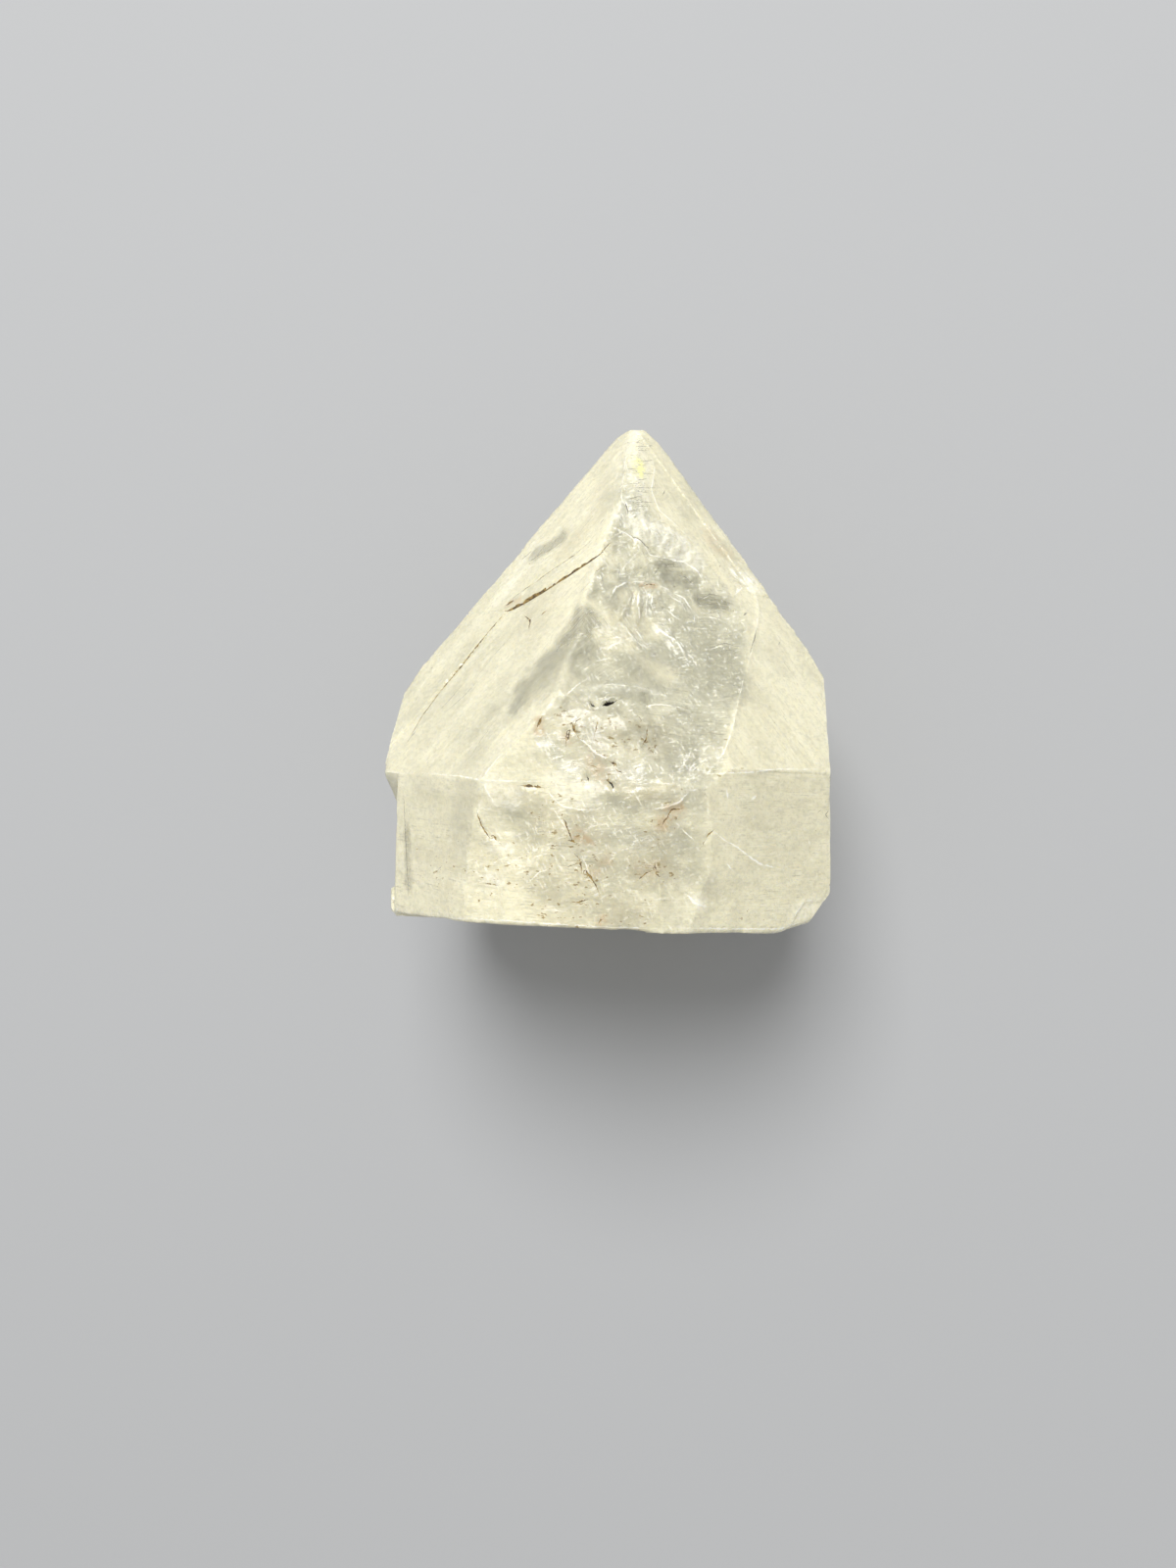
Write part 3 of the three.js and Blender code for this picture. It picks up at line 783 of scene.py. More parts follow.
# %% How strongly each point belongs to a patch
# The sides that the photograph hides get chance patches in the same manner.
def patches(marks):
    """How strongly each point belongs to the marked patches, from 0 to 1."""
    ragged = 0.3 * clouds(spots, 1.4, 31) + 0.2 * clouds(spots, 0.6, 32)
    total = np.zeros(len(points))
    for line, half, strength in marks:
        near, away, _ = beside(traced(line, step=10), 2.2 * half)
        inside = 1 - ease(np.abs(away) / half + ragged[near], 0.4, 1.5)
        total[near] = np.maximum(total[near], strength * inside)
    return total


def everywhere(marks, strength, size, seed, low, high):
    """The marked patches, with chance patches of one size on the hidden sides."""
    by_chance = strength * hidden * ease(layered(spots, size, seed), low, high)
    return np.maximum(patches(marks), by_chance)


to_camera = np.array(CAMERA_AT) - points
to_camera /= np.linalg.norm(to_camera, axis=1, keepdims=True)
hidden = 1 - ease((outward * to_camera).sum(1), -0.02, 0.12)
clear = everywhere(CLEAR_WINDOWS, 0.6, 12, 121, -0.2, 0.9)
frost_and_glints = everywhere(FROST_AND_GLINT_PATCHES, 0.8, 5, 131, 0.35, 0.7)
clayey = everywhere(CLAYEY, 0.6, 6, 141, 0.15, 0.6)
warm = everywhere(WARM, 0.5, 10, 161, 0, 0.6)
laced = everywhere(LACED, 0.8, 4, 171, 0.1, 0.6)
for name, strength in (("clear", clear), ("frosted", frost_and_glints), ("clayey", clayey)):
    print(name, "patches cover", round((strength > 0.3).mean(), 3), "of the skin")

# %% [markdown]
# ## Cracks where the photograph shows nothing
#
# The photograph shows one side only. The other sides of a crystal from the same place
# would be cracked in the same way, so some cracks are made for them. Each one starts at a
# chance point and wanders over the skin, and the sum of its short steps is its length.

# %% Cracks on the hidden sides
CRACK_STEP = 0.6
FEWEST_STEPS, MOST_STEPS = 3, 15
HIDDEN_FROM = 0.9
ABOVE_FLOOR = 3


def wandering(number):
    """A crack that wanders over the hidden skin from a chance point."""
    chance = np.random.default_rng(900 + number)
    unseen = np.nonzero((hidden > HIDDEN_FROM) & (points[:, 2] > ABOVE_FLOOR))[0]
    start = unseen[chance.integers(len(unseen))]
    spot = Vector(points[start])
    way = across_line[start] * chance.normal(0, 1) + along_line[start] * chance.normal(0, 1)
    way = Vector(way).normalized()
    line = []
    for _ in range(int(chance.integers(FEWEST_STEPS, MOST_STEPS + 1))):
        line.append(np.array(spot))
        way = (way + 0.35 * Vector(chance.normal(0, 1, 3))).normalized()
        spot, _, triangle, _ = skin_tree.find_nearest(spot + way * CRACK_STEP)
        if hidden[triangles[triangle][0]] < HIDDEN_FROM:
            break
    return line


def on_skin(marks):
    """The picture lines of some marks, as lines on the skin."""
    return [(traced(line), half, deep) for line, half, deep in marks]


# The number of a chance line decides where it runs.
CHANCE_CRACKS, CHANCE_HAIRLINES, CHANCE_BRIGHT = range(54), range(100, 150), range(200, 250)
clay_cracks = on_skin(CLAY_CRACKS)
clay_cracks += [(wandering(number), 0.05 + 0.012 * (number % 9), 0.2) for number in CHANCE_CRACKS]
hairlines = on_skin(HAIRLINES)
hairlines += [(wandering(number), 0.07, 0) for number in CHANCE_HAIRLINES]
edges_with_painted_highlights = on_skin(EDGES_WITH_PAINTED_HIGHLIGHTS)
edges_with_painted_highlights += [(wandering(number), 0.09, 0.1) for number in CHANCE_BRIGHT]
pits = on_skin(PITS)
print(len(clay_cracks), "cracks and", len(hairlines), "hairlines in all")

# %% Thin lines on the skin
LINE_REACH = 0.8


def thin_lines(marks):
    """For each point, the distance from the nearest line's middle and the line's half width."""
    off = np.full(len(points), LINE_REACH)
    nearest = np.full(len(points), LINE_REACH)
    half_width = np.zeros(len(points))
    for line, half, _ in marks:
        near, away, place = beside(line, LINE_REACH)
        closer = np.abs(away) < nearest[near]
        here = near[closer]
        ends = np.sin(np.pi * np.clip(place[closer] * 0.9 + 0.05, 0, 1)) ** 0.5
        fade = 1 - ease(np.abs(away[closer]), 0.45, 0.75)
        off[here] = away[closer]
        nearest[here] = np.abs(away[closer])
        half_width[here] = half * ends * fade
    return off, half_width


kinds = {"hairline": hairlines, "clay": clay_cracks, "pit": pits, "bright": edges_with_painted_highlights}
lines_by_kind = {kind: thin_lines(marks) for kind, marks in kinds.items()}
for kind, (_, wide) in lines_by_kind.items():
    print("points beside a line of the kind", kind, int((wide > 0).sum()))

# %% [markdown]
# ## Relief
#
# Grown faces are never quite flat. They carry low steps and fine lines, and wide shallow
# hollows where the crystal was etched. Apophyllite splits flat along its base, and in other
# directions it breaks like glass. Such a break leaves a shell with ripples around the place
# of the blow, and fine ridges that run away from it. Where the crystal was struck often, it
# crumbled to small tilted facets. All of these heights are added up, and each point moves
# by the sum along the direction that it faces.

# %% Bruised edges
# Where directions differ between neighbours there is an edge, and natural edges are
# nicked all along.
NICK_DEPTH, WEAR_DEPTH = 0.09, 0.03
evened = spread(outward, 5)
fold = 1 - np.linalg.norm(evened, axis=1)
edge = ease(spread(fold, 2), 0.012, 0.08)
ridge = ease(fold, 0.08, 0.14)
nicked = edge * ease(clouds(spots, 1.5, 81) + 0.5 * clouds(spots, 0.7, 82), -0.05, 0.6)
relief = -NICK_DEPTH * nicked - WEAR_DEPTH * edge
print("edges cover", round(edge.mean(), 3), "and nicks", round(nicked.mean(), 3))

# %% Growth lines and hollows on the grown faces
def steps(width, height, seed):
    """Low growth steps across a face, of uneven widths and heights."""
    bent = across / width + 0.5 * clouds(spots, 9, seed) + 0.16 * clouds(spots, 2.6, seed + 1)
    number = np.floor(bent)
    part = bent - number
    strength = 0.5 + 0.5 * shuffled(np.stack([number, which, which * 0], 1), seed + 2)
    present = ease(clouds(spots * [1, 0.6, 1], 5, seed + 3), -0.3, 0.3)
    return height * strength * present * (ease(part, 0, 0.92) - ease(part, 0.92, 1) - 0.5)


inner = grown * (1 - 0.9 * spread(edge, 3))
relief += inner * (1 + 0.5 * hidden) * steps(width=3.4, height=0.1, seed=11)
relief += inner * steps(width=1.1, height=0.035, seed=21)
relief += inner * (0.05 * clouds(spots, 6, 3) + 0.03 * clouds(spots, 2.4, 4))
print("growth relief", relief.min().round(3), "to", relief.max().round(3), "mm")

# %% Sheets of the cleavage on the base
SHEET_THICK, THINNER_AT_EDGES = 0.16, 0.1
sheets = 2.6 * layered(spots * [1, 0.2, 0.7], 11, 7)
sheets = np.floor(sheets) + ease(sheets - np.floor(sheets), 0.7, 1)
relief += cleaved * (SHEET_THICK - THINNER_AT_EDGES * spread(edge, 3)) * sheets
relief += cleaved * 0.03 * clouds(spots * [0.5, 1, 1], 2, 5)
print("with the base", relief.min().round(3), "to", relief.max().round(3), "mm")

# %% Ripples and ridges in the great break
# They run around the place of the blow and away from it, and fade out on the stem.
BLOW_IN_PICTURE = (662, 592)
RIPPLE_HIGH, SHARP_RIPPLE_HIGH, RIDGE_HIGH = 0.03, 0.1, 0.16
BLOW_AT = landed(BLOW_IN_PICTURE)
blow = BLOW_AT - AXIS_AT
broken = least_around(np.clip(1 - grown - cleaved, 0, 1), 3)
broken = spread(-least_around(-broken, 2), 2)
off_stem = ease(spots[:, 1], -2.5, 0.5)
broken *= 0.35 + 0.65 * off_stem
from_blow = np.linalg.norm(points - BLOW_AT, axis=1)
ray_angle = np.arctan2(spots[:, 1] - blow[1], spots[:, 0] - blow[0])
great = broken * (spots[:, 2] > 0) * ease(-from_blow, -26, -20) * off_stem
bent = from_blow + 0.7 * clouds(spots, 4, 41) + 0.25 * clouds(spots, 1.5, 42)
ripple = np.sin(2 * np.pi * bent / (1.1 + 0.05 * from_blow))
sharp_ripple = np.abs(np.sin(np.pi * bent / 3.1)) - 0.6
ridges_in = np.stack([ray_angle * 7, from_blow * 0.18, ray_angle * 0], 1)
ridges = np.abs(clouds(ridges_in, 1, 43)) - 0.3
relief += great * (RIPPLE_HIGH * ripple + SHARP_RIPPLE_HIGH * sharp_ripple + RIDGE_HIGH * ridges)
print("the great break covers", round(great.mean(), 3), "of the skin")

# %% Facets where the crystal crumbled
tip_side = 0.25 + 0.75 * ease(spots[:, 1], -1, 2)
crumbled = np.maximum(0.6 * frost_and_glints, 0.45 * broken * tip_side * ease(spots[:, 2], 19, 22))
relief += crumbled * (0.12 * flakes(spots, 1.7, 51) + 0.08 * flakes(spots, 0.8, 61))
relief += broken * tip_side * (0.12 * flakes(spots, 2.2, 71) + 0.05 * clouds(spots, 0.9, 6))
relief += edge * (spread(relief, 3) - relief)
print("crumbled", round(crumbled.mean(), 3), "of the skin")

# %% Open the cracks and pits, and step the broken edges
CREST_WIDE = 0.24


def groove(marks, wider):
    """The depth that the marked lines cut into the skin."""
    depth = np.zeros(len(points))
    for line, half, deep in marks:
        reach = half + wider
        near, away, place = beside(line, reach)
        ends = np.sin(np.pi * np.clip(place * 0.96 + 0.02, 0, 1)) ** 0.4
        depth[near] = np.maximum(depth[near], deep * ends * (1 - np.abs(away) / reach) ** 1.3)
    return depth


def stepped(marks, reach=1.5):
    """The height by which one side of the marked edges stands over the other."""
    height = np.zeros(len(points))
    for line, _, rise in marks:
        near, away, place = beside(line, reach)
        ends = np.sin(np.pi * np.clip(place * 0.96 + 0.02, 0, 1)) ** 0.5
        fall = np.where(away > 0, 1, 0) * np.exp(-np.abs(away) / 0.5)
        crest = np.exp(-(away / CREST_WIDE) ** 2)
        height[near] += rise * ends * (0.6 * crest - 0.8 * fall * (1 - crest))
    return height


def domed(lobes):
    """The height of the almond-shaped lobes, with a crisp rim."""
    height = np.zeros(len(points))
    for start, end, half, rise in lobes:
        a, b = landed(start), landed(end)
        way = b - a
        away = points - a
        place = (away @ way) / (way @ way)
        off = np.linalg.norm(away - place[:, None] * way, axis=1)
        inside = 1 - (2 * place - 1) ** 2 - (off / half) ** 2
        height = np.maximum(height, rise * np.clip(inside, 0, 1) ** 0.6)
    return height


relief -= groove(clay_cracks, 0.22) + groove(pits, 0.3)
relief += stepped(edges_with_painted_highlights) + domed(LOBES)
print("relief", relief.min().round(2), "to", relief.max().round(2), "mm")

# %% Move the skin, inside the solid's box
# Along edges the skin moves in one even direction, and a narrow ridge is evened after it
# has moved, so that the outline stays smooth.
push = outward + edge[:, None] * (evened - outward)
push /= np.linalg.norm(push, axis=1, keepdims=True)
moved = points + push * relief[:, None]
moved += ridge[:, None] * (spread(moved, 3) - moved)
worn = patches(WORN)[:, None]
moved += worn * (spread(moved, 30) - moved)
low, high = (np.array(corner) / MM for corner in cad_box)
moved = np.clip(moved, low, high)
crystal.data.vertices.foreach_set("co", (moved * MM).ravel().astype(np.float32))
crystal.data.update()
print("the skin moved by", round(np.abs(relief).mean(), 3), "mm on average")

# %% [markdown]
# ## What the skin tells the material
#
# The material needs to know where the stone is clear, frosted, freshly broken or cracked.
# Those numbers were worked out with the relief, so they are stored on the points of the
# mesh under plain names, and the material reads them by name. The place across and along
# the growth lines goes with them, for lines finer than the triangles.

# %% Store the numbers by name
def keep_number(name, values):
    """Stores one number for each point."""
    stored = crystal.data.attributes.new(name, "FLOAT", "POINT")
    stored.data.foreach_set("value", values.astype(np.float32))


def keep_place(name, values):
    """Stores three numbers for each point."""
    stored = crystal.data.attributes.new(name, "FLOAT_VECTOR", "POINT")
    stored.data.foreach_set("vector", values.ravel().astype(np.float32))


numbers = {
    "clear": clear,
    "frost_and_glints": np.clip(frost_and_glints + 0.15 * nicked, 0, 1),
    "crumbled": crumbled,
    "facet": flakes(spots, 0.9, 61, tilted=False),
    "clayey": clayey,
    "warm": warm,
    "laced": laced,
    "stained": patches(STAINED),
    "glinting": patches(GLINTING),
    "broken": broken,
    "cleaved": cleaved,
    "edge": edge,
    "slow": layered(spots, 8, 91),
    "patchy": layered(spots, 2.4, 101),
    "bands": layered(np.stack([across, along * 0.07, which * 3.0], 1), 1.3, 111),
}
for kind, (off, wide) in lines_by_kind.items():
    numbers[kind + " off"] = off
    numbers[kind + " wide"] = wide
for name, values in numbers.items():
    keep_number(name, values)
print("stored", len(numbers), "numbers for each point")

# %% Store the place across and along the fine lines
# On grown faces the lines follow the growth, and in the great break they hang like drapes.
lines_place = np.stack([across, along, which * 5.0], 1)
drape = spots[:, 1] - np.minimum(0, points[:, 0] - BLOW_AT[0]) + 0.5 * clouds(spots, 5, 151)
break_place = np.stack([0.8 * drape, spots[:, 0], which * 0], 1)
keep_place("grain", np.where(great[:, None] > 0.3, break_place, lines_place))
print("the drapes cover", round((great > 0.3).mean(), 3), "of the skin")

# %% Smooth shading, with the sharpest folds kept
FOLD_KEPT = 38
crystal.data.shade_smooth()
crystal.data.set_sharp_from_angle(angle=math.radians(FOLD_KEPT))
print("smooth, with folds over", FOLD_KEPT, "degrees kept sharp")

# %% [markdown]
# ## A short way to write shader maths
#
# A finish is a tree of small nodes. Written node by node it is long and hard to read, so
# one small class holds a node's output and turns plus, minus and times into Math nodes.
# Places are worked on with Vector Math, and colours are blended with a Mix node, because
# a Math node would turn a colour grey. Every other node comes from one method, which takes
# its type, its settings and what its sockets are given.

# %% One class for outputs, and one for the tree
class Output:
    """What a node gives out, for use in sums."""

    def __init__(self, socket):
        self.socket = socket

    def sum_with(self, operation, left, right):
        """The sum as a Math node, or as Vector Math where one side is a place or a colour."""
        tree = self.socket.id_data
        types = [one.socket.type for one in (left, right) if isinstance(one, Output)]
        place = "VECTOR" in types or "RGBA" in types
        node = tree.nodes.new("ShaderNodeVectorMath" if place else "ShaderNodeMath")
        node.operation = operation
        for slot, one in zip(node.inputs, (left, right)):
            if isinstance(one, Output):
                tree.links.new(one.socket, slot)
            elif place and not hasattr(one, "__len__"):
                slot.default_value = (one, one, one)
            else:
                slot.default_value = one
        return Output(node.outputs[0])

    def __add__(self, other):
        return self.sum_with("ADD", self, other)

    def __radd__(self, other):
        return self.sum_with("ADD", other, self)

    def __sub__(self, other):
        return self.sum_with("SUBTRACT", self, other)

    def __rsub__(self, other):
        return self.sum_with("SUBTRACT", other, self)

    def __mul__(self, other):
        return self.sum_with("MULTIPLY", self, other)

    def __rmul__(self, other):
        return self.sum_with("MULTIPLY", other, self)

    def __abs__(self):
        return self.sum_with("ABSOLUTE", self, 0.0)

    def most(self, other):
        """The larger of two at each place."""
        return self.sum_with("MAXIMUM", self, other)

    def least(self, other):
        """The smaller of two at each place."""
        return self.sum_with("MINIMUM", self, other)


class Finish:
    """A material, and the one way to add nodes to it."""

    def __init__(self, name):
        self.material = bpy.data.materials.new(name)
        self.material.use_nodes = True
        self.tree = self.material.node_tree
        self.tree.nodes.clear()

    def add(self, kind, settings=None, sockets=None, out=0):
        """Adds a node: its settings first, then what its sockets are given."""
        node = self.tree.nodes.new(kind)
        for name, value in (settings or {}).items():
            setattr(node, name, value)
        for name, value in (sockets or {}).items():
            if isinstance(value, Output):
                self.tree.links.new(value.socket, node.inputs[name])
            else:
                node.inputs[name].default_value = value
        return Output(node.outputs[out]) if len(node.outputs) else node

    def number(self, name):
        """A number that the skin keeps."""
        return self.add("ShaderNodeAttribute", {"attribute_name": name}, out="Fac")

    def noise(self, place, size, detail=2.0, rough=0.5, out="Fac"):
        """Noise from 0 to 1, with lumps about one size across."""
        return self.add(
            "ShaderNodeTexNoise",
            {"noise_dimensions": "3D"},
            {"Vector": place, "Scale": 1 / size, "Detail": detail, "Roughness": rough},
            out,
        )

    def rise(self, value, low, high):
        """0 up to low, 1 from high, and smooth in between."""
        return self.add(
            "ShaderNodeMapRange",
            {"interpolation_type": "SMOOTHSTEP", "clamp": True},
            {"Value": value, "From Min": low, "From Max": high},
        )

    def blend(self, first, second, share):
        """Two colours in one, with more of the second as the share grows."""
        node = self.tree.nodes.new("ShaderNodeMix")
        node.data_type = "RGBA"
        for slot, value in ((node.inputs[0], share), (node.inputs[6], first), (node.inputs[7], second)):
            if isinstance(value, Output):
                self.tree.links.new(value.socket, slot)
            else:
                slot.default_value = value
        return Output(node.outputs[2])


stone = Finish("apophyllite")
print("an empty finish:", stone.material.name)

# %% [markdown]
# ## The finish
#
# Apophyllite is clear and colourless when it is pure. This one is cloudy with fine
# bubbles and healed cracks, and slightly yellow, so light passes some places and is
# scattered back by others. Two shaders stand for those two states. One is clear crystal,
# with the mineral's refraction and a thin tint that grows with the way through the
# stone. The other is milky, and lets light soak in by about half a millimetre. A mask
# mixes them, from the windows and frosted patches that the skin keeps and from slow clouds.

# %% Colours
CREAM = (0.83, 0.785, 0.565, 1)
PALE_CREAM = (0.91, 0.875, 0.68, 1)
GREY_CREAM = (0.60, 0.585, 0.44, 1)
HAIRLINE_GREY = (0.30, 0.285, 0.22, 1)
WHITE_FROST_AND_HIGHLIGHT = (0.95, 0.94, 0.85, 1)
WARM_CREAM = (0.72, 0.655, 0.45, 1)
CLAY = (0.33, 0.225, 0.07, 1)
DARK_CLAY = (0.10, 0.065, 0.028, 1)
PALE_RUST = (0.68, 0.53, 0.33, 1)
YELLOW_GLINT = (0.95, 0.93, 0.42, 1)
# Painted shade: the near-black drawn at the bottom of the pits.
PAINTED_PIT_SHADE = (0.015, 0.012, 0.01, 1)
CLEAR_TINT = (1.0, 0.995, 0.96, 1)
SOAKED_TINT = (0.90, 0.885, 0.74, 1)
REFRACTION = 1.535
print("the creams go from", GREY_CREAM[:3], "to", PALE_CREAM[:3])

# %% Masks that the skin keeps, and noise
place = stone.add("ShaderNodeTexCoord", out="Object") * (1 / MM)
grain = stone.add("ShaderNodeAttribute", {"attribute_name": "grain"}, out="Vector")
is_clear, is_frost_and_glints, is_broken = map(stone.number, ("clear", "frost_and_glints", "broken"))
is_cleaved, is_edge, is_crumbled = map(stone.number, ("cleaved", "edge", "crumbled"))
is_clayey, is_warm, is_laced = map(stone.number, ("clayey", "warm", "laced"))
is_stained, is_glinting, facet = map(stone.number, ("stained", "glinting", "facet"))
slow, patchy, bands = map(stone.number, ("slow", "patchy", "bands"))
fine = stone.noise(place, 0.5, 5.0, 0.68)
hair = stone.noise(grain * (6.0, 0.3, 1.0), 1.0, 4.0, 0.75)
print(len(stone.tree.nodes), "nodes with the masks")

# %% Lines in cracks and on broken edges
uneven = stone.noise(place, 0.4, 3.0, 0.6)
gaps = stone.noise(place, 0.8, 2.0)


def line_mask(name, soft, ragged):
    """1 inside a thin line that the skin keeps, with ragged sides."""
    off = abs(stone.number(name + " off") + 0.3 * (uneven - 0.5))
    wide = stone.number(name + " wide") * ragged
    return stone.rise(wide - off, 0.0, soft)


clay_line = line_mask("clay", 0.04, 3.2 * gaps - 0.6)
# The pits are painted near-black, as painted shade at their bottoms.
pit_shade_line = line_mask("pit", 0.05, 0.35 + 1.3 * uneven)
hairline = line_mask("hairline", 0.06, 0.2 + 1.6 * uneven)
# The white of these lines is painted highlight, drawn over the real step in the mesh.
painted_highlight_line = line_mask("bright", 0.06, 3.6 * gaps - 0.8)
print(len(stone.tree.nodes), "nodes with the lines")

# %% Specks all over
specks = stone.noise(place * (1.0, 1.8, 1.3), 0.8, 2.0, 0.7)
clay_specks = stone.rise(specks + 0.2 * is_clayey + 0.03 * slow, 0.74, 0.77)
dark_specks = stone.rise(fine, 0.68, 0.74)
some = stone.rise(patchy + 0.4 * slow + 0.6 * is_broken, -0.2, 0.5)
print(len(stone.tree.nodes), "nodes with the specks")

# %% Short strokes, in two directions that take turns
def short_strokes(turn):
    """Noise of short strokes that all lie at one angle, from -0.5 to 0.5."""
    turned = stone.add(
        "ShaderNodeVectorRotate",
        {"rotation_type": "Z_AXIS"},
        {"Vector": place, "Angle": turn},
    )
    return stone.noise(turned * (5.0, 1.1, 2.4), 1.0, 3.0, 0.6) - 0.5


more_strokes = 0.35 + 0.45 * is_broken.most(is_frost_and_glints) + 0.4 * is_laced
steep = short_strokes(-0.55) + 0.05 * is_laced
steep_there = stone.rise(gaps, 0.44, 0.54)
level = short_strokes(1.2) + 0.05 * is_laced
level_there = stone.rise(0.56 - gaps, 0.0, 0.1)
white_steep = steep_there * stone.rise(steep, 0.07, 0.15)
white_level = level_there * stone.rise(level, 0.07, 0.15)
strokes = white_steep.most(white_level) * more_strokes
dark_steep = steep_there * stone.rise(-0.1 - steep, 0.0, 0.08)
dark_level = level_there * stone.rise(-0.1 - level, 0.0, 0.08)
dark_strokes = dark_steep.most(dark_level) * more_strokes
print(len(stone.tree.nodes), "nodes with the strokes")

# %% Mix the milky share
# It is near 0.9, falls in clear windows and in the break, and rises along lines and at frost.
clear_there = is_clear * (0.6 + 0.4 * stone.rise(hair, 0.42, 0.58))
milky = 0.89 + 0.06 * slow + 0.05 * patchy + 0.02 * bands
milky = milky + 0.3 * strokes - 0.2 * is_clear - 0.32 * clear_there - 0.1 * is_broken
milky = milky + 0.1 * is_frost_and_glints + 0.06 * is_edge - 0.1 * is_clayey
milky = milky + 0.4 * painted_highlight_line + 0.3 * hairline + clay_line + pit_shade_line
milky = milky.most(0.38).least(1.0)
print(len(stone.tree.nodes), "nodes with the milky share")

# %% How strongly each colour shows
warmer = 0.5 + 0.3 * slow + 0.12 * patchy - 0.65 * is_broken - 0.4 * is_clear
pale = (0.3 * stone.rise(bands, -0.4, 0.8)).most(0.4 * stone.rise(fine, 0.5, 0.66))
dull = (0.45 * stone.rise(0.5 - fine, 0.0, 0.16)).most(0.4 * stone.rise(0.5 - specks, 0.0, 0.14))
pale_line = 0.6 * some * stone.rise(0.46 - hair, 0.0, 0.1)
pale_line = pale_line.most(0.5 * is_crumbled * stone.rise(facet, 0.1, 0.6))
grey = (0.5 * some * stone.rise(hair, 0.56, 0.66)).most(0.4 * dark_specks)
grey = grey.most(0.45 * dark_strokes)
grey = grey.most(0.3 * is_crumbled * stone.rise(-0.1 - facet, 0.0, 0.5))
# White for real frost, flaws and worn edges, and painted highlight along broken edges and at two glint
# patches.
frost_and_highlight_white = (0.45 * is_frost_and_glints * stone.rise(fine, 0.35, 0.6)).most(0.8 * painted_highlight_line).most(0.6 * strokes)
frost_and_highlight_white = frost_and_highlight_white.most(0.15 * is_edge * stone.rise(fine, 0.45, 0.6))
print(len(stone.tree.nodes), "nodes with the shares")

# %% Colour of the milky part
# Each colour goes over those before it, so the clay in cracks and the painted shade in pits come last.
body = stone.blend(GREY_CREAM, CREAM, stone.rise(warmer, -0.5, 0.5))
for colour, share in (
    (WARM_CREAM, (0.7 * is_warm).most(0.8 * is_clayey)),
    (PALE_CREAM, pale),
    (GREY_CREAM, dull),
    (PALE_CREAM, pale_line),
    (HAIRLINE_GREY, grey),
    (WHITE_FROST_AND_HIGHLIGHT, frost_and_highlight_white),
    (HAIRLINE_GREY, 0.95 * hairline),
    (PALE_RUST, is_stained * stone.rise(fine, 0.38, 0.55)),
    (YELLOW_GLINT, is_glinting * stone.rise(fine, 0.42, 0.52)),
    (CLAY, clay_line.most(0.8 * clay_specks)),
    (DARK_CLAY, clay_line * stone.rise(fine, 0.44, 0.56)),
    (PAINTED_PIT_SHADE, pit_shade_line),
):
    body = stone.blend(body, colour, share)
print(len(stone.tree.nodes), "nodes with the colours")

# %% Roughness and fine bumps
roughness = 0.24 + 0.22 * is_frost_and_glints - 0.05 * is_broken + 0.14 * is_crumbled + 0.2 * (hair - 0.5)
roughness = roughness + 0.2 * (fine - 0.5) + 0.3 * clay_line - 0.06 * is_cleaved
haze = 0.42 - 0.22 * is_clear + 0.15 * is_frost_and_glints
bumps = 0.4 * fine + 0.35 * hair + 0.5 * specks
surface = stone.add(
    "ShaderNodeBump",
    {},
    {"Strength": 0.5, "Distance": 0.08 * MM, "Height": bumps},
    out="Normal",
)
print(len(stone.tree.nodes), "nodes with the bumps")

# %% The two shaders
clear_crystal = stone.add(
    "ShaderNodeBsdfPrincipled",
    {},
    {
        "Base Color": CLEAR_TINT,
        "Transmission Weight": 1.0,
        "IOR": REFRACTION,
        "Roughness": haze,
        "Normal": surface,
    },
)
milky_crystal = stone.add(
    "ShaderNodeBsdfPrincipled",
    {},
    {
        "Base Color": body,
        "Roughness": roughness,
        "Normal": surface,
        "Subsurface Weight": 0.5,
        "Subsurface Radius": (1.0, 0.9, 0.6),
        "Subsurface Scale": 0.45 * MM,
        "IOR": REFRACTION,
    },
)
mixed = stone.add("ShaderNodeMixShader", {}, {0: milky, 1: clear_crystal, 2: milky_crystal})
tinted = stone.add("ShaderNodeVolumeAbsorption", {}, {"Color": SOAKED_TINT, "Density": 14.0})
stone.add("ShaderNodeOutputMaterial", {}, {"Surface": mixed, "Volume": tinted})
crystal.data.materials.clear()
crystal.data.materials.append(stone.material)
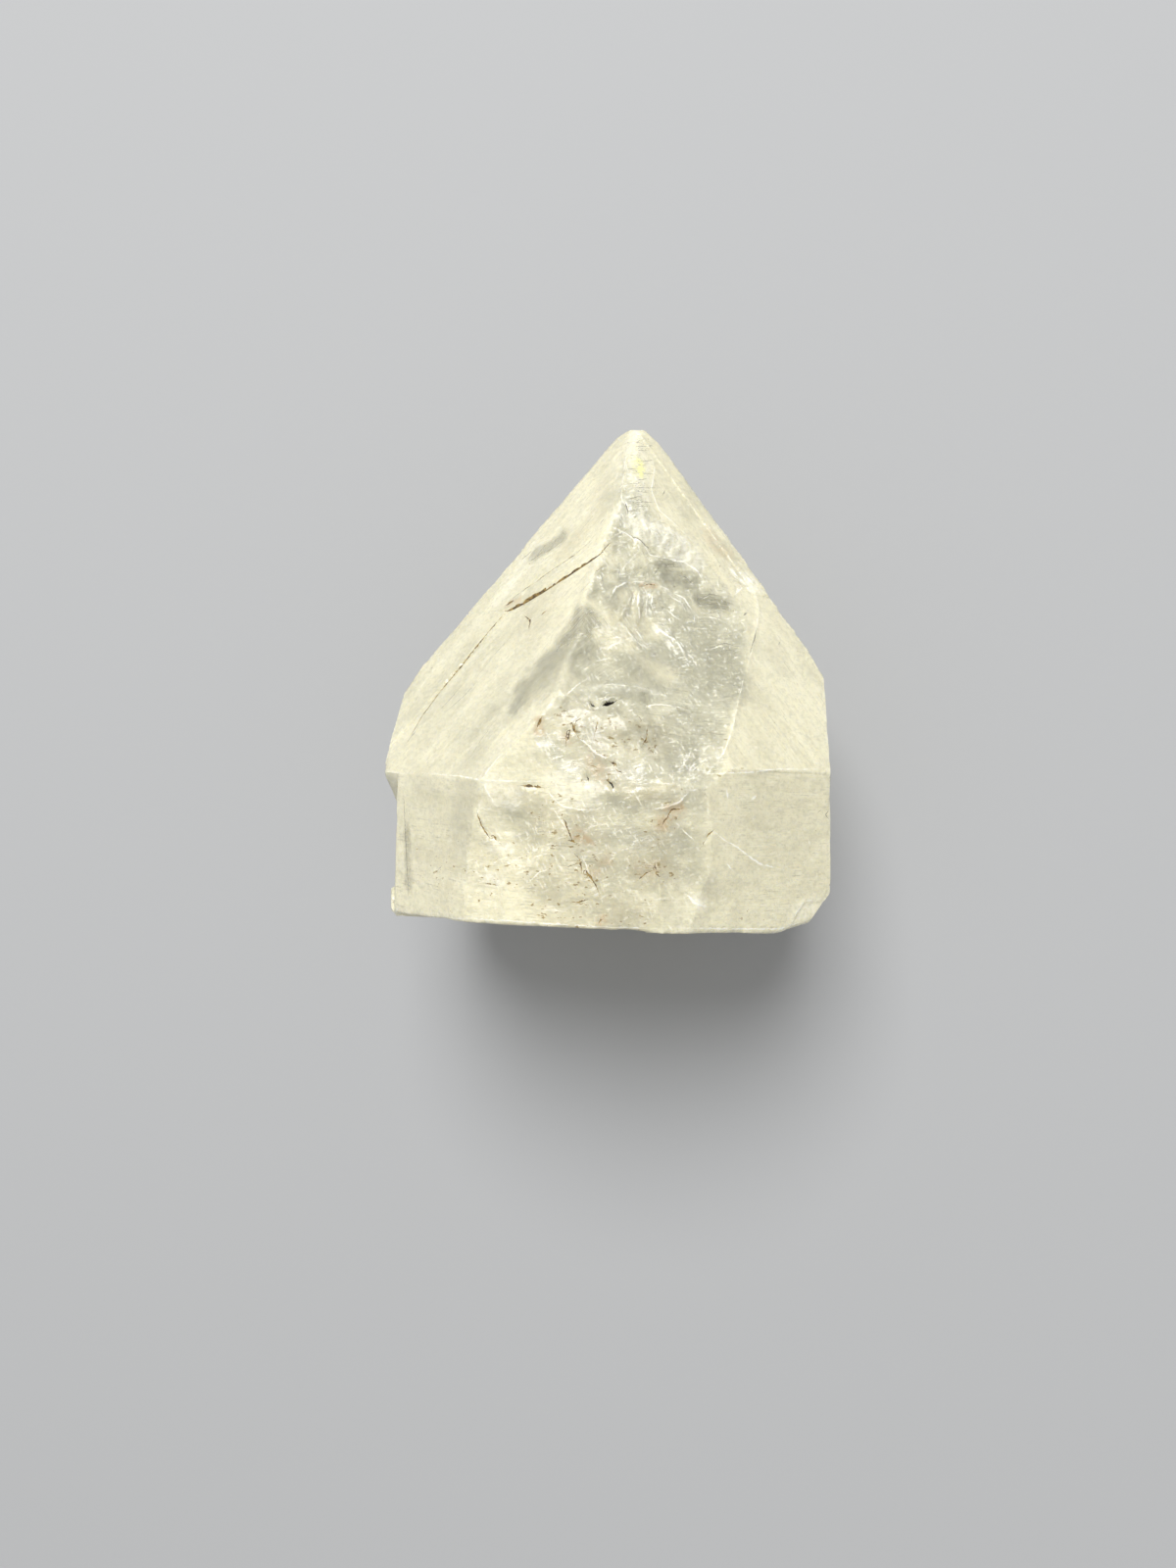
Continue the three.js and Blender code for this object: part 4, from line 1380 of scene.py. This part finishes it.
print("the finish has", len(stone.tree.nodes), "nodes")

# %% Put the crystal in the frame
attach(crystal, "root")
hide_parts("crystal")
print("the crystal stands for its solid")

# %% [markdown]
# ## Floor and light
#
# The crystal was photographed on a plain surface, in soft light from a window beyond its
# tip. The floor here is plain and pale. One large lamp high beyond the tip gives the soft
# shadow below the broken base, and the sky lights the rest evenly.

# %% A plain pale floor
FLOOR_HALF = 1.2
FLOOR_GREY = (0.42, 0.425, 0.43, 1)
floor_mesh = bpy.data.meshes.new("floor")
floor_corners = [(-FLOOR_HALF, -FLOOR_HALF, 0), (FLOOR_HALF, -FLOOR_HALF, 0)]
floor_corners += [(FLOOR_HALF, FLOOR_HALF, 0), (-FLOOR_HALF, FLOOR_HALF, 0)]
floor_mesh.from_pydata(floor_corners, [], [(0, 1, 2, 3)])
floor = placed("floor", floor_mesh)
floor_paint = Finish("pale floor")
matt = floor_paint.add("ShaderNodeBsdfPrincipled", {}, {"Base Color": FLOOR_GREY, "Roughness": 0.8})
floor_paint.add("ShaderNodeOutputMaterial", {}, {"Surface": matt})
floor_mesh.materials.append(floor_paint.material)
print("the floor is", 2 * FLOOR_HALF, "m wide")

# %% One large soft lamp and an even sky
LAMP_AT = Vector((-0.08, 0.56, 0.92))
LAMP_WIDE, LAMP_WATTS, SKY_STRENGTH = 0.6, 11.5, 0.5
lamp_data = bpy.data.lights.new("soft window", "AREA")
lamp_data.shape = "DISK"
lamp_data.size = LAMP_WIDE
lamp_data.energy = LAMP_WATTS
lamp = placed("soft window", lamp_data)
lamp.location = LAMP_AT
lamp.rotation_euler = LAMP_AT.to_track_quat("Z", "Y").to_euler()

sky = bpy.data.worlds.new("even sky")
sky.use_nodes = True
sky.node_tree.nodes["Background"].inputs["Color"].default_value = (1, 1, 1, 1)
sky.node_tree.nodes["Background"].inputs["Strength"].default_value = SKY_STRENGTH
bpy.context.scene.world = sky
bpy.context.scene.view_settings.view_transform = "Standard"
print("lamp", LAMP_WATTS, "W at", [round(side, 2) for side in LAMP_AT], "m")
